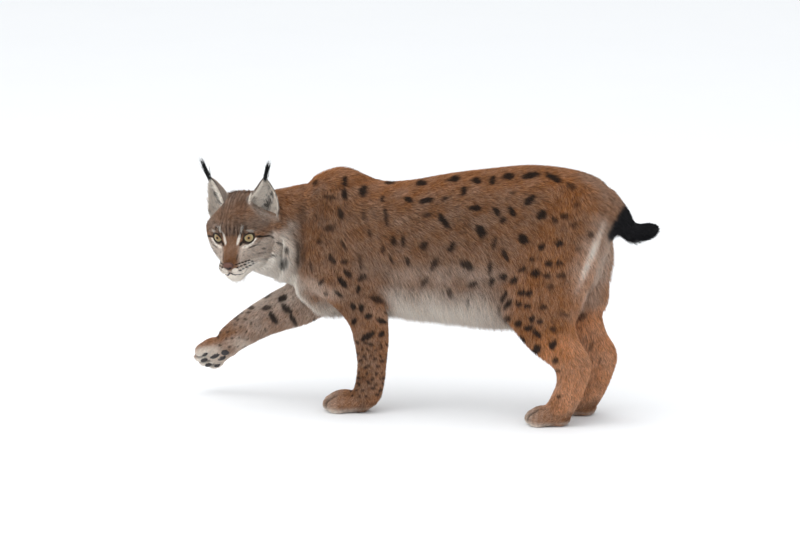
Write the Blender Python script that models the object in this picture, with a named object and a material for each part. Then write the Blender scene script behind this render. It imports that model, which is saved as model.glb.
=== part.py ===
"""Life-size Eurasian lynx, walking with its right forepaw lifted and its head turned to its left.

The lynx faces -X, its left flank is on -Y, and it stands on the plane z = 0.
The body and the head are each modelled whole from lofts and ellipsoids, fused and smoothed,
then parted into named pieces by cutters that leave a thin gap.
"""

import math
import random

import bmesh
import bpy
import numpy as np
from mathutils import Matrix, Vector
from mathutils.bvhtree import BVHTree

GAP = 0.0003

# Where the middle of the animal's box lies in the drawing below, so that the origin is under it.
MIDDLE = Vector((-0.0742, -0.0316, 0.0))

# Torso, from chest to rump: x, top z, bottom z, half width.
TORSO = (
    (-0.378, 0.430, 0.300, 0.040),
    (-0.352, 0.490, 0.255, 0.070),
    (-0.312, 0.532, 0.232, 0.090),
    (-0.250, 0.553, 0.236, 0.104),
    (-0.170, 0.529, 0.240, 0.108),
    (-0.100, 0.531, 0.241, 0.110),
    (0.000, 0.552, 0.236, 0.112),
    (0.100, 0.569, 0.230, 0.108),
    (0.180, 0.579, 0.236, 0.102),
    (0.250, 0.577, 0.262, 0.096),
    (0.305, 0.567, 0.305, 0.090),
    (0.338, 0.553, 0.345, 0.076),
    (0.356, 0.534, 0.385, 0.052),
)

# Neck, from the withers to the nape: x, y, z, half width, half depth upwards and downwards.
NECK = (
    (-0.255, 0.000, 0.400, 0.085, 0.120, 0.120),
    (-0.310, 0.000, 0.400, 0.086, 0.118, 0.125),
    (-0.356, -0.006, 0.402, 0.084, 0.107, 0.122),
    (-0.400, -0.022, 0.405, 0.082, 0.095, 0.108),
    (-0.434, -0.052, 0.410, 0.078, 0.084, 0.094),
    (-0.452, -0.085, 0.414, 0.066, 0.068, 0.076),
)

# Tail, from the rump to the tip: x, z, half width, half depth.
TAIL = (
    (0.318, 0.526, 0.030, 0.029),
    (0.343, 0.513, 0.032, 0.031),
    (0.365, 0.494, 0.031, 0.030),
    (0.382, 0.473, 0.030, 0.029),
    (0.396, 0.452, 0.028, 0.027),
    (0.413, 0.438, 0.025, 0.024),
    (0.433, 0.434, 0.022, 0.021),
    (0.452, 0.437, 0.018, 0.017),
    (0.465, 0.441, 0.010, 0.009),
)
# The outline that parts the tail from the rump, seen from the side: x, z.
TAIL_CUT = ((0.369, 0.468), (0.378, 0.500), (0.420, 0.530), (0.540, 0.510), (0.540, 0.380),
            (0.388, 0.390), (0.375, 0.437))

# Hind leg in level slices, from hip to ankle: z, x, half length, distance from the middle, half width.
HIND_LEFT = (
    (0.500, 0.282, 0.060, 0.046, 0.038),
    (0.440, 0.262, 0.092, 0.052, 0.047),
    (0.380, 0.243, 0.108, 0.056, 0.051),
    (0.320, 0.226, 0.104, 0.058, 0.050),
    (0.270, 0.220, 0.091, 0.058, 0.046),
    (0.235, 0.223, 0.078, 0.058, 0.042),
    (0.195, 0.243, 0.069, 0.058, 0.038),
    (0.162, 0.270, 0.062, 0.058, 0.035),
    (0.135, 0.292, 0.046, 0.058, 0.032),
    (0.105, 0.294, 0.037, 0.058, 0.030),
    (0.075, 0.284, 0.036, 0.058, 0.030),
    (0.045, 0.270, 0.036, 0.058, 0.031),
    (0.020, 0.258, 0.032, 0.058, 0.030),
)
HIND_RIGHT_REACH = 0.034

# Left foreleg in level slices, from shoulder to wrist: z, x, half length, y, half width.
FORE_LEFT = (
    (0.480, -0.250, 0.052, -0.056, 0.034),
    (0.420, -0.256, 0.078, -0.060, 0.042),
    (0.360, -0.262, 0.088, -0.062, 0.046),
    (0.300, -0.240, 0.082, -0.062, 0.045),
    (0.250, -0.196, 0.062, -0.060, 0.041),
    (0.210, -0.176, 0.047, -0.056, 0.037),
    (0.170, -0.170, 0.041, -0.051, 0.034),
    (0.120, -0.170, 0.035, -0.044, 0.031),
    (0.075, -0.175, 0.034, -0.039, 0.031),
    (0.040, -0.184, 0.035, -0.036, 0.033),
    (0.020, -0.194, 0.034, -0.035, 0.032),
)

# Right foreleg along its reach, from shoulder to wrist: x, y, z, half width, half depth.
FORE_RIGHT = (
    (-0.245, 0.054, 0.470, 0.036, 0.052),
    (-0.275, 0.060, 0.400, 0.044, 0.076),
    (-0.305, 0.064, 0.330, 0.046, 0.082),
    (-0.328, 0.067, 0.268, 0.044, 0.072),
    (-0.362, 0.068, 0.226, 0.041, 0.056),
    (-0.410, 0.067, 0.201, 0.039, 0.048),
    (-0.455, 0.065, 0.178, 0.037, 0.042),
    (-0.500, 0.063, 0.149, 0.034, 0.037),
    (-0.532, 0.061, 0.124, 0.033, 0.033),
)

# Paws: the middle of the sole, the heading in degrees from -X towards -Y, the pitch of the toes.
FORE_PAW_LEFT = ((-0.218, -0.035, 0.0), 6.0, 0.0)
FORE_PAW_RIGHT = ((-0.549, 0.060, 0.083), -4.0, 26.0)
HIND_PAW_LEFT = ((0.248, -0.058, 0.0), 4.0, 0.0)
HIND_PAW_RIGHT = ((0.282, 0.058, 0.0), -4.0, 0.0)
HIND_PAW_SIZE = 0.92
LIFTED_PAW_SIZE = 0.95
PAW_SINK = 0.004

# One paw, forward along +X from the middle of the sole: x, y, z, then the three radii.
PAW_BLOBS = (
    (0.014, 0.000, 0.026, 0.046, 0.039, 0.028),
    (-0.018, 0.000, 0.026, 0.030, 0.033, 0.026),
    (0.044, 0.011, 0.021, 0.024, 0.0145, 0.0205),
    (0.044, -0.011, 0.021, 0.024, 0.0145, 0.0205),
    (0.031, 0.030, 0.018, 0.023, 0.0135, 0.0185),
    (0.031, -0.030, 0.018, 0.023, 0.0135, 0.0185),
)
# Bare pads under a lifted paw, in the same terms.
PAD_BLOBS = (
    (-0.004, 0.000, 0.003, 0.016, 0.020, 0.007),
    (0.052, 0.011, 0.004, 0.011, 0.008, 0.006),
    (0.052, -0.011, 0.004, 0.011, 0.008, 0.006),
    (0.038, 0.029, 0.003, 0.010, 0.007, 0.006),
    (0.038, -0.029, 0.003, 0.010, 0.007, 0.006),
)

# Head: its middle, where it faces as degrees from -Y towards -X, how far it looks down, and how
# far its left side is tipped up.
HEAD_AT = Vector((-0.461, -0.084, 0.419))
HEAD_YAW = 7.2
HEAD_PITCH = 26.8
HEAD_ROLL = 5.0

# The skull and face in slices from the nape to the nose, in the head's millimetres: how far
# forward, the slice's middle above the head's middle, half width, height over and depth under it.
HEAD_SLICES = (
    (-70, 0, 66, 52, 62),
    (-45, 2, 80, 66, 78),
    (-20, 0, 85, 71, 84),
    (8, -3, 83, 66, 86),
    (28, -7, 75, 56, 84),
    (43, -12, 65, 45, 78),
    (55, -18, 51, 34, 70),
    (68, -26, 37, 28, 60),
    (82, -35, 31, 26, 47),
    (94, -41, 26, 24, 39),
    (102, -42, 16, 17, 26),
)
# Rounder masses on it: forward, left, up, then the three radii and the pitch. A mass off the middle
# is made on both sides.
HEAD_BLOBS = (
    (37, 29, 25, 15, 22, 12, 0),
    (74, 0, -8, 36, 16, 12, 24),
    (86, 16, -42, 21, 18, 17, 0),
    (98, 0, -28, 13, 13, 11, 0),
    (86, 0, -64, 15, 17, 16, 0),
)
# The ruff at its full reach, down each cheek from the ear: forward, left, up of its middle, half
# depth fore and aft, half width across.
RUFF = (
    (-26, 70, 28, 12, 8),
    (-16, 75, 0, 15, 10),
    (-9, 77, -32, 18, 13),
    (-5, 72, -64, 19, 15),
    (-4, 63, -95, 18, 14),
    (-4, 51, -120, 14, 12),
    (-4, 44, -132, 8, 8),
)

# Eyes: their middle and radius in millimetres, the way they face in degrees, and the lids round them.
EYE_AT = (38.0, 35.0, 9.0)
EYE_RADIUS = 15.0
EYE_OUT = 22.0
EYE_UP = 14.0
LID_THICKNESS = 2.9
LID_HALF_WIDTH = 14.0
LID_HALF_HEIGHT = 9.4
LID_SLANT = 16.0

# Ears: the middle of the root, the tip, the slanted way across from the inner to the outer rim, and
# the end of the tuft on the left and on the right ear, in the head's millimetres.
EAR_ROOT = (-27.0, 55.0, 44.0)
EAR_TIP = (-50.0, 68.0, 104.0)
EAR_ACROSS = (-17.0, 55.0, -44.0)
EAR_HALF_WIDTH = 38.0
EAR_BOW_LEFT = 6.0
EAR_BOW_RIGHT = -2.0
EAR_DEPTH = 25.0
EAR_WALL = 4.0
TUFT_LOCKS = ((0.0, 1.0, 0.010), (5.0, 0.82, 0.008), (-5.0, 0.88, 0.008))
EAR_WELL = (27.0, 15.0, 34.0)
EAR_WELL_AT = 0.10
EAR_WELL_BACK = 4.0
TUFT_END_LEFT = (-52.0, 92.0, 150.0)
TUFT_END_RIGHT = (-50.0, -76.0, 160.0)

# The box that holds the head, in its millimetres: its back at the top and at the bottom, how far it
# reaches forward, to each side, up and down.
HEAD_BOX_BACK_TOP = -78.0
HEAD_BOX_BACK_LOW = -44.0
HEAD_BOX_AHEAD = 260.0
HEAD_BOX_SIDE = 126.0
HEAD_BOX_TOP = 240.0
HEAD_BOX_LOW = -128.0

# Colours and roughness of the materials.
COAT_COLOUR = (0.36, 0.22, 0.13)
PALE_COLOUR = (0.62, 0.56, 0.48)
DARK_COLOUR = (0.02, 0.018, 0.017)
NOSE_COLOUR = (0.24, 0.11, 0.09)
EYE_COLOUR = (0.55, 0.42, 0.16)

# Locks of the long coat. Each row: how many, the line their roots are looked for along (from, to), the
# way to look from there, the lie of the hair, how steeply they rise in degrees, length, width.
BODY_LOCKS = (
    (9, (-0.112, -0.30, 0.287), (0.112, -0.30, 0.282), (0, 1, 0), (0.25, 0, -1), 15, 0.062, 0.030),
    (9, (-0.100, -0.30, 0.262), (0.124, -0.30, 0.256), (0, 1, 0), (0.25, 0, -1), 13, 0.056, 0.028),
    (7, (-0.100, -0.022, 0.12), (0.105, -0.022, 0.12), (0, 0, 1), (1.0, 0.0, -0.5), 38, 0.052, 0.036),
    (8, (-0.160, 0.028, 0.12), (0.112, 0.028, 0.12), (0, 0, 1), (1.0, 0.0, -0.5), 38, 0.052, 0.036),
    (10, (-0.190, 0.30, 0.287), (0.112, 0.30, 0.282), (0, -1, 0), (0.25, 0, -1), 15, 0.062, 0.030),
    (10, (-0.175, 0.30, 0.262), (0.124, 0.30, 0.256), (0, -1, 0), (0.25, 0, -1), 13, 0.056, 0.028),
    (4, (-0.500, -0.046, 0.300), (-0.500, 0.030, 0.290), (1, 0, 0), (-0.2, 0, -1), 22, 0.050, 0.022),
    (4, (-0.500, -0.026, 0.262), (-0.500, 0.036, 0.258), (1, 0, 0), (-0.1, 0, -1), 24, 0.046, 0.022),
    (5, (-0.080, -0.066, 0.290), (-0.080, -0.056, 0.186), (-1, 0, 0), (0.30, 0, -1), 20, 0.026, 0.012),
    (5, (-0.180, 0.066, 0.300), (-0.240, 0.066, 0.215), (-1, 0, 0), (0.30, 0, -1), 20, 0.028, 0.012),
    (7, (0.480, -0.062, 0.420), (0.480, -0.058, 0.262), (-1, 0, 0), (0.25, -0.1, -1), 20, 0.034, 0.018),
    (7, (0.480, 0.062, 0.410), (0.480, 0.058, 0.250), (-1, 0, 0), (0.25, 0.1, -1), 20, 0.034, 0.018),
)
# The throat's and the chin's, in the head's millimetres.
HEAD_LOCKS = (
    (4, (36, 24, -220), (-8, 28, -220), (0, 0, 1), (-1, 0.1, -0.2), 30, 0.034, 0.018),
    (4, (36, -24, -220), (-8, -28, -220), (0, 0, 1), (-1, -0.1, -0.2), 30, 0.034, 0.018),
    (4, (84, 0, -220), (30, 0, -220), (0, 0, 1), (-1, 0, -0.2), 28, 0.022, 0.014),
)
# The ruff's, in rows round its crescent: how many, how far round from the outside to the front in
# degrees, where the row starts and ends along the crescent.
RUFF_LOCKS = ((8, -12, 0.22, 0.93), (8, 28, 0.18, 0.97), (7, 64, 0.30, 0.94))
RUFF_LOCK_RISE = 24
RUFF_LOCK_LENGTH = 0.044
RUFF_LOCK_WIDTH = 0.017
LOCK_THICKNESS = 0.36
LOCK_SEED = 11

BODY_VOXEL = 0.0055
HEAD_VOXEL = 0.0026
BODY_TRIANGLES = 4300
HEAD_TRIANGLES = 2000


def clear_scene():
    for old in list(bpy.data.objects):
        bpy.data.objects.remove(old, do_unlink=True)


def material(name, colour, roughness):
    made = bpy.data.materials.new(name)
    made.use_nodes = True
    shader = made.node_tree.nodes["Principled BSDF"]
    shader.inputs["Base Color"].default_value = (*colour, 1.0)
    shader.inputs["Roughness"].default_value = roughness
    shader.inputs["Metallic"].default_value = 0.0
    return made


def mesh_object(name, points, faces):
    mesh = bpy.data.meshes.new(name)
    mesh.from_pydata([tuple(map(float, p)) for p in points], [], faces)
    mesh.update()
    made = bpy.data.objects.new(name, mesh)
    bpy.context.scene.collection.objects.link(made)
    face_out(made)
    return made


def face_out(obj):
    shape = bmesh.new()
    shape.from_mesh(obj.data)
    bmesh.ops.recalc_face_normals(shape, faces=shape.faces)
    if shape.calc_volume(signed=True) < 0:
        bmesh.ops.reverse_faces(shape, faces=shape.faces)
    shape.to_mesh(obj.data)
    shape.free()


def settle(obj):
    """Replaces the object's mesh by the one that its modifiers make."""
    graph = bpy.context.evaluated_depsgraph_get()
    made = bpy.data.meshes.new_from_object(obj.evaluated_get(graph))
    obj.modifiers.clear()
    obj.data = made


def join(name, objects):
    """One mesh object that holds all of these as they are."""
    whole = bmesh.new()
    for obj in objects:
        part = obj.data.copy()
        part.transform(obj.matrix_world)
        whole.from_mesh(part)
        bpy.data.meshes.remove(part)
        bpy.data.objects.remove(obj, do_unlink=True)
    mesh = bpy.data.meshes.new(name)
    whole.to_mesh(mesh)
    whole.free()
    made = bpy.data.objects.new(name, mesh)
    bpy.context.scene.collection.objects.link(made)
    return made


def smooth_rows(rows, steps):
    """The rows of numbers, with a Catmull-Rom curve through them read at steps places for each span."""
    rows = np.array(rows, float)
    before = 2 * rows[0] - rows[1]
    after = 2 * rows[-1] - rows[-2]
    p = np.vstack([before, rows, after])
    t = (np.arange(steps) / steps)[:, None]
    spans = []
    for i in range(1, len(p) - 2):
        a, b, c, d = p[i - 1], p[i], p[i + 1], p[i + 2]
        spans.append(
            0.5 * (2 * b + (c - a) * t + (2 * a - 5 * b + 4 * c - d) * t**2 + (3 * b - a - 3 * c + d) * t**3)
        )
    return np.vstack([*spans, rows[-1:]])


def loft(name, centres, side, up, widths, highs, lows, around=28, round_ends=0.5, fullness=1.0):
    """A closed tube: ellipse halves of the given half width, half depth up and half depth down at each
    centre, spanned by the rows of side and up, with a rounded cap of its own at both ends. A fullness
    under 1 squares the ellipses off."""
    turn = np.linspace(0, 2 * math.pi, around, endpoint=False)
    cos, sin = np.cos(turn), np.sin(turn)
    cos = np.sign(cos) * np.abs(cos) ** fullness
    sin = np.sign(sin) * np.abs(sin) ** fullness
    cap = np.radians([25, 50, 72])
    along_first = centres[0] - centres[1]
    along_last = centres[-1] - centres[-2]
    along_first /= np.linalg.norm(along_first)
    along_last /= np.linalg.norm(along_last)

    def ring(i, shrink, shift):
        depth = np.where(sin > 0, highs[i], lows[i])
        return (
            centres[i]
            + shift
            + shrink * (np.outer(cos * widths[i], side[i]) + np.outer(sin * depth, up[i]))
        )

    rings = [ring(0, math.cos(a), along_first * math.sin(a) * widths[0] * round_ends) for a in cap[::-1]]
    rings += [ring(i, 1.0, 0.0) for i in range(len(centres))]
    rings += [ring(-1, math.cos(a), along_last * math.sin(a) * widths[-1] * round_ends) for a in cap]
    points = list(np.vstack(rings))
    count = len(rings)
    points.append(centres[0] + along_first * widths[0] * round_ends)
    points.append(centres[-1] + along_last * widths[-1] * round_ends)
    faces = []
    for r in range(count - 1):
        for k in range(around):
            n = (k + 1) % around
            faces.append((r * around + k, r * around + n, (r + 1) * around + n, (r + 1) * around + k))
    for k in range(around):
        n = (k + 1) % around
        faces.append((count * around, n, k))
        faces.append((count * around + 1, (count - 1) * around + k, (count - 1) * around + n))
    return mesh_object(name, points, faces)


def level_leg(name, rows, side_sign=1.0):
    """A leg from level slices, each z, x, half length, y, half width."""
    r = smooth_rows(rows, 4)
    centres = np.column_stack([r[:, 1], side_sign * r[:, 3], r[:, 0]])
    side = np.tile([0.0, 1.0, 0.0], (len(r), 1))
    ahead = np.tile([1.0, 0.0, 0.0], (len(r), 1))
    return loft(name, centres, side, ahead, r[:, 4], r[:, 2], r[:, 2])


def path_frames(centres, reference):
    """Side and up rows square to a path: up is the reference made square to the way along."""
    way = np.gradient(centres, axis=0)
    way /= np.linalg.norm(way, axis=1)[:, None]
    up = reference - way * (way @ reference)[:, None]
    up /= np.linalg.norm(up, axis=1)[:, None]
    return np.cross(way, up), up


def torso():
    r = smooth_rows(TORSO, 4)
    middle = (r[:, 1] + r[:, 2]) / 2 + 0.01
    centres = np.column_stack([r[:, 0], np.zeros(len(r)), middle])
    side = np.tile([0.0, 1.0, 0.0], (len(r), 1))
    up = np.tile([0.0, 0.0, 1.0], (len(r), 1))
    return loft("torso", centres, side, up, r[:, 3], r[:, 1] - middle, middle - r[:, 2], around=40)


def neck():
    r = smooth_rows(NECK, 5)
    side, up = path_frames(r[:, :3], np.array([0.0, 0.0, 1.0]))
    return loft("neck", r[:, :3], side, up, r[:, 3], r[:, 4], r[:, 5], around=36)


def tail():
    r = smooth_rows(TAIL, 5)
    centres = np.column_stack([r[:, 0], np.zeros(len(r)), r[:, 1]])
    up, side = path_frames(centres, np.array([0.0, 1.0, 0.0]))
    return loft("tail", centres, side, up, r[:, 2], r[:, 3], r[:, 3])


def lifted_leg():
    r = smooth_rows(FORE_RIGHT, 4)
    up, side = path_frames(r[:, :3], np.array([0.0, 1.0, 0.0]))
    return loft("lifted", r[:, :3], side, up, r[:, 3], r[:, 4], r[:, 4])


def blob(name, centre, radii, turn, segments=20, rings=12):
    """An ellipsoid: a ball scaled by its radii, then turned by the matrix and set at centre."""
    shape = bmesh.new()
    bmesh.ops.create_uvsphere(shape, u_segments=segments, v_segments=rings, radius=1.0)
    mesh = bpy.data.meshes.new(name)
    shape.to_mesh(mesh)
    shape.free()
    place = Matrix.Translation(centre) @ turn.to_4x4() @ Matrix.Diagonal((*radii, 1.0))
    mesh.transform(place)
    made = bpy.data.objects.new(name, mesh)
    bpy.context.scene.collection.objects.link(made)
    return made


def paw_turn(heading, pitch):
    """The matrix that carries a paw drawn along +X to its heading, with the toes pitched down."""
    return (
        Matrix.Rotation(math.radians(180 + heading), 3, "Z")
        @ Matrix.Rotation(math.radians(pitch), 3, "Y")
    )


def paw(paw_at, blobs, size=1.0):
    sole, heading, pitch = paw_at
    turn = paw_turn(heading, pitch)
    lift = Vector(sole) - Vector((0, 0, PAW_SINK if pitch == 0 else 0))
    made = []
    for b in blobs:
        scaled = [size * number for number in b]
        made.append(blob("paw", lift + turn @ Vector(scaled[:3]), scaled[3:], turn))
    return made


def head_axes():
    """Columns: forward, left and up of the head."""
    yaw, pitch, roll = (math.radians(a) for a in (HEAD_YAW, HEAD_PITCH, HEAD_ROLL))
    level = Vector((-math.sin(yaw), -math.cos(yaw), 0.0))
    forward = level * math.cos(pitch) - Vector((0, 0, math.sin(pitch)))
    left = Vector((math.cos(yaw), -math.sin(yaw), 0.0))
    left = left * math.cos(roll) + forward.cross(left) * math.sin(roll)
    return Matrix((forward, left, forward.cross(left))).transposed()


def in_head(forward, left, up):
    """A place given in the head's millimetres."""
    return HEAD_AT + head_axes() @ (Vector((forward, left, up)) / 1000)


def skull():
    r = smooth_rows(HEAD_SLICES, 4) / 1000
    forward, left, up = (np.array(axis) for axis in head_axes().transposed())
    centres = np.array(HEAD_AT) + np.outer(r[:, 0], forward) + np.outer(r[:, 1], up)
    rows = (len(r), 1)
    return loft(
        "skull", centres, np.tile(left, rows), np.tile(up, rows), r[:, 2], r[:, 3], r[:, 4],
        around=44, round_ends=0.4, fullness=0.9,
    )


def ruff(side):
    """A crescent that hangs from the ear past the cheek."""
    r = smooth_rows(RUFF, 4) / 1000
    axes = np.array(head_axes())
    centres = np.array(HEAD_AT) + np.column_stack([r[:, 0], side * r[:, 1], r[:, 2]]) @ axes.T
    across, ahead = path_frames(centres, axes[:, 0])
    return loft("ruff", centres, across, ahead, r[:, 4], r[:, 3], r[:, 3])


def head_masses(rows):
    made = []
    for f, l, u, rf, rl, ru, pitch in rows:
        for side in (1, -1) if l else (1,):
            turn = head_axes() @ Matrix.Rotation(math.radians(pitch), 3, "Y")
            made.append(blob("mass", in_head(f, side * l, u), (rf / 1000, rl / 1000, ru / 1000), turn, 28, 16))
    return made


def fuse(name, objects, voxel, rounds, triangles):
    """One closed skin round all the shapes: remeshed, smoothed, and thinned to about that many triangles."""
    whole = join(name, objects)
    remesh = whole.modifiers.new("remesh", "REMESH")
    remesh.mode = "VOXEL"
    remesh.voxel_size = voxel
    soften = whole.modifiers.new("soften", "SMOOTH")
    soften.factor = 0.5
    soften.iterations = rounds
    settle(whole)
    thin = whole.modifiers.new("thin", "DECIMATE")
    thin.ratio = min(1.0, triangles / (2 * len(whole.data.polygons)))
    thin.use_collapse_triangulate = True
    settle(whole)
    return whole


def keep_largest(obj):
    """Keeps only the closed surface with the most faces, and drops points that coincide."""
    shape = bmesh.new()
    shape.from_mesh(obj.data)
    bmesh.ops.remove_doubles(shape, verts=shape.verts, dist=0.000002)
    bmesh.ops.triangulate(shape, faces=shape.faces)
    shape.verts.ensure_lookup_table()
    island = {}
    groups = []
    for start in shape.verts:
        if start.index in island:
            continue
        members = [start]
        island[start.index] = len(groups)
        for vert in members:
            for edge in vert.link_edges:
                other = edge.other_vert(vert)
                if other.index not in island:
                    island[other.index] = len(groups)
                    members.append(other)
        groups.append(members)
    largest = max(groups, key=lambda g: sum(len(v.link_faces) for v in g))
    kept = {v.index for v in largest}
    bmesh.ops.delete(shape, geom=[v for v in shape.verts if v.index not in kept], context="VERTS")
    shape.to_mesh(obj.data)
    shape.free()


def boolean(obj, other, operation):
    change = obj.modifiers.new(operation, "BOOLEAN")
    change.object = other
    change.operation = operation
    change.solver = "EXACT"
    settle(obj)


def lock(root, way, across, bend, length, width):
    """A flat, tapered, bent lock: three diamonds and a point."""
    flat = across.cross(way).normalized()
    points, faces = [], []
    for t, share in ((0.0, 0.85), (0.38, 1.0), (0.74, 0.62)):
        middle = root + way * (length * t) + bend * (length * t * t)
        half = width * share / 2
        thick = half * LOCK_THICKNESS
        points += [middle + across * half, middle + flat * thick, middle - across * half, middle - flat * thick]
    points.append(root + way * length + bend * length)
    for i in (0, 1):
        faces += [(4 * i + k, 4 * i + (k + 1) % 4, 4 * i + 4 + (k + 1) % 4, 4 * i + 4 + k) for k in range(4)]
    faces += [(8 + k, 8 + (k + 1) % 4, 12) for k in range(4)]
    faces.append((3, 2, 1, 0))
    return mesh_object("lock", points, faces)


def row_aims(rows, chance, place=lambda at: at, turn=Matrix.Identity(3)):
    """Where to look for each lock's root and how it lies, from rows such as BODY_LOCKS."""
    for count, start, end, look, lie, rise, length, width in rows:
        for i in range(count):
            share = (i + chance.uniform(-0.25, 0.25)) / (count - 1)
            seen = place(Vector(start).lerp(Vector(end), share))
            yield seen, turn @ Vector(look), turn @ Vector(lie), rise, length, width


def ruff_aims(side, chance):
    """The same for the ruff: looked for from round its crescent, and lying down along it."""
    path = smooth_rows(RUFF, 6)[:, :3] * (1, side, 1)
    ahead = head_axes() @ Vector((1, 0, 0))
    for count, round_by, first, last in RUFF_LOCKS:
        for i in range(count):
            share = first + (last - first) * (i + chance.uniform(-0.25, 0.25)) / (count - 1)
            k = min(int(share * (len(path) - 1)), len(path) - 2)
            middle = in_head(*path[k])
            along = (in_head(*path[k + 1]) - middle).normalized()
            outward = ahead.cross(along).normalized() * side
            turned = math.radians(round_by)
            away = outward * math.cos(turned) + ahead * math.sin(turned)
            lie = along + outward * 0.25 - ahead * 0.15
            yield middle + away * 0.1, -away, lie, RUFF_LOCK_RISE, RUFF_LOCK_LENGTH, RUFF_LOCK_WIDTH


def locks_on(whole, aims, chance):
    """Roots a lock in the object's surface for each aim, and fuses them all with it at once."""
    shape = bmesh.new()
    shape.from_mesh(whole.data)
    tree = BVHTree.FromBMesh(shape)
    shape.free()
    group = bpy.data.collections.new("locks")
    for seen, look, lie, rise, length, width in aims:
        hit, normal, _, _ = tree.ray_cast(seen, look.normalized())
        if hit is None:
            continue
        lies = (lie - normal * lie.dot(normal)).normalized()
        steep = math.radians(rise + chance.uniform(-5, 5))
        way = lies * math.cos(steep) + normal * math.sin(steep)
        across = lies.cross(normal).normalized()
        way = (way + across * chance.uniform(-0.14, 0.14)).normalized()
        across = way.cross(across.cross(way)).normalized()
        bend = lies * 0.25 - normal * 0.20 + across * chance.uniform(-0.10, 0.10)
        long = length * chance.uniform(0.85, 1.12)
        root = hit - normal * 0.007 - lies * 0.004
        made = lock(root, way, across, bend, long, width * chance.uniform(0.85, 1.1))
        bpy.context.scene.collection.objects.unlink(made)
        group.objects.link(made)
    change = whole.modifiers.new("locks", "BOOLEAN")
    change.operand_type = "COLLECTION"
    change.collection = group
    change.operation = "UNION"
    change.solver = "EXACT"
    settle(whole)
    for made in list(group.objects):
        bpy.data.objects.remove(made, do_unlink=True)
    bpy.data.collections.remove(group)
    keep_largest(whole)


def copy_of(obj, name):
    made = bpy.data.objects.new(name, obj.data.copy())
    bpy.context.scene.collection.objects.link(made)
    return made


def prism(name, levels, grow=0.0):
    """A cutter stacked from level rectangles, each z, x from, x to, y from, y to, grown all round."""
    points, faces = [], []
    last = len(levels) - 1
    for i, (z, x0, x1, y0, y1) in enumerate(levels):
        z += grow if i == 0 else -grow if i == last else 0.0
        points += [
            (x0 - grow, y0 - grow, z),
            (x1 + grow, y0 - grow, z),
            (x1 + grow, y1 + grow, z),
            (x0 - grow, y1 + grow, z),
        ]
    for i in range(last):
        for k in range(4):
            n = (k + 1) % 4
            faces.append((4 * i + k, 4 * i + n, 4 * i + 4 + n, 4 * i + 4 + k))
    faces += [(0, 1, 2, 3), tuple(4 * last + k for k in (3, 2, 1, 0))]
    return mesh_object(name, points, faces)


def plate(name, outline, half_width, grow=0.0):
    """A cutter with this outline seen from the side, each corner moved out by the growth."""
    corners = [Vector(c) for c in outline]
    sweep = sum(a.x * b.y - b.x * a.y for a, b in zip(corners, corners[1:] + corners[:1]))
    sense = 1 if sweep > 0 else -1
    moved = []
    for before, here, after in zip(corners[-1:] + corners[:-1], corners, corners[1:] + corners[:1]):
        ways = [(here - before).normalized(), (after - here).normalized()]
        outs = [Vector((w.y, -w.x)) * sense for w in ways]
        mitre = (outs[0] + outs[1]).normalized()
        moved.append(here + mitre * (grow / mitre.dot(outs[0])))
    count = len(moved)
    points = [(c.x, y, c.y) for y in (-half_width, half_width) for c in moved]
    faces = [tuple(range(count)), tuple(range(2 * count - 1, count - 1, -1))]
    faces += [(k, (k + 1) % count, count + (k + 1) % count, count + k) for k in range(count)]
    return mesh_object(name, points, faces)


def slab(name, start, way, depth, half, grow=0.0):
    """A square cutter that runs from start along way for depth, half wide each side, grown all round."""
    way = way.normalized()
    turn = way.to_track_quat("Z", "Y").to_matrix().to_4x4()
    shape = bmesh.new()
    bmesh.ops.create_cube(shape, size=1.0)
    mesh = bpy.data.meshes.new(name)
    shape.to_mesh(mesh)
    shape.free()
    size = Matrix.Diagonal((2 * (half + grow), 2 * (half + grow), depth + 2 * grow, 1.0))
    mesh.transform(Matrix.Translation(start + way * depth / 2) @ turn @ size)
    made = bpy.data.objects.new(name, mesh)
    bpy.context.scene.collection.objects.link(made)
    return made


def head_box(shrink=0.0):
    """The box round the head, its faces drawn in by so many millimetres."""
    front = HEAD_BOX_AHEAD - shrink
    side = HEAD_BOX_SIDE - shrink
    top, low = HEAD_BOX_TOP - shrink, HEAD_BOX_LOW + shrink
    points = []
    for u, back in ((low, HEAD_BOX_BACK_LOW + shrink), (top, HEAD_BOX_BACK_TOP + shrink)):
        for f, l in ((back, -side), (front, -side), (front, side), (back, side)):
            points.append(in_head(f, l, u))
    faces = [(0, 1, 2, 3), (7, 6, 5, 4), (0, 4, 5, 1), (1, 5, 6, 2), (2, 6, 7, 3), (3, 7, 4, 0)]
    return mesh_object("head_box", points, faces)


def take(whole, name, cutter, grown):
    """Cuts a named piece out of the whole with the cutter, and clears the grown cutter from the rest."""
    piece = copy_of(whole, name)
    boolean(piece, cutter, "INTERSECT")
    keep_largest(piece)
    boolean(whole, grown, "DIFFERENCE")
    keep_largest(whole)
    bpy.data.objects.remove(cutter, do_unlink=True)
    bpy.data.objects.remove(grown, do_unlink=True)
    return piece


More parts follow.
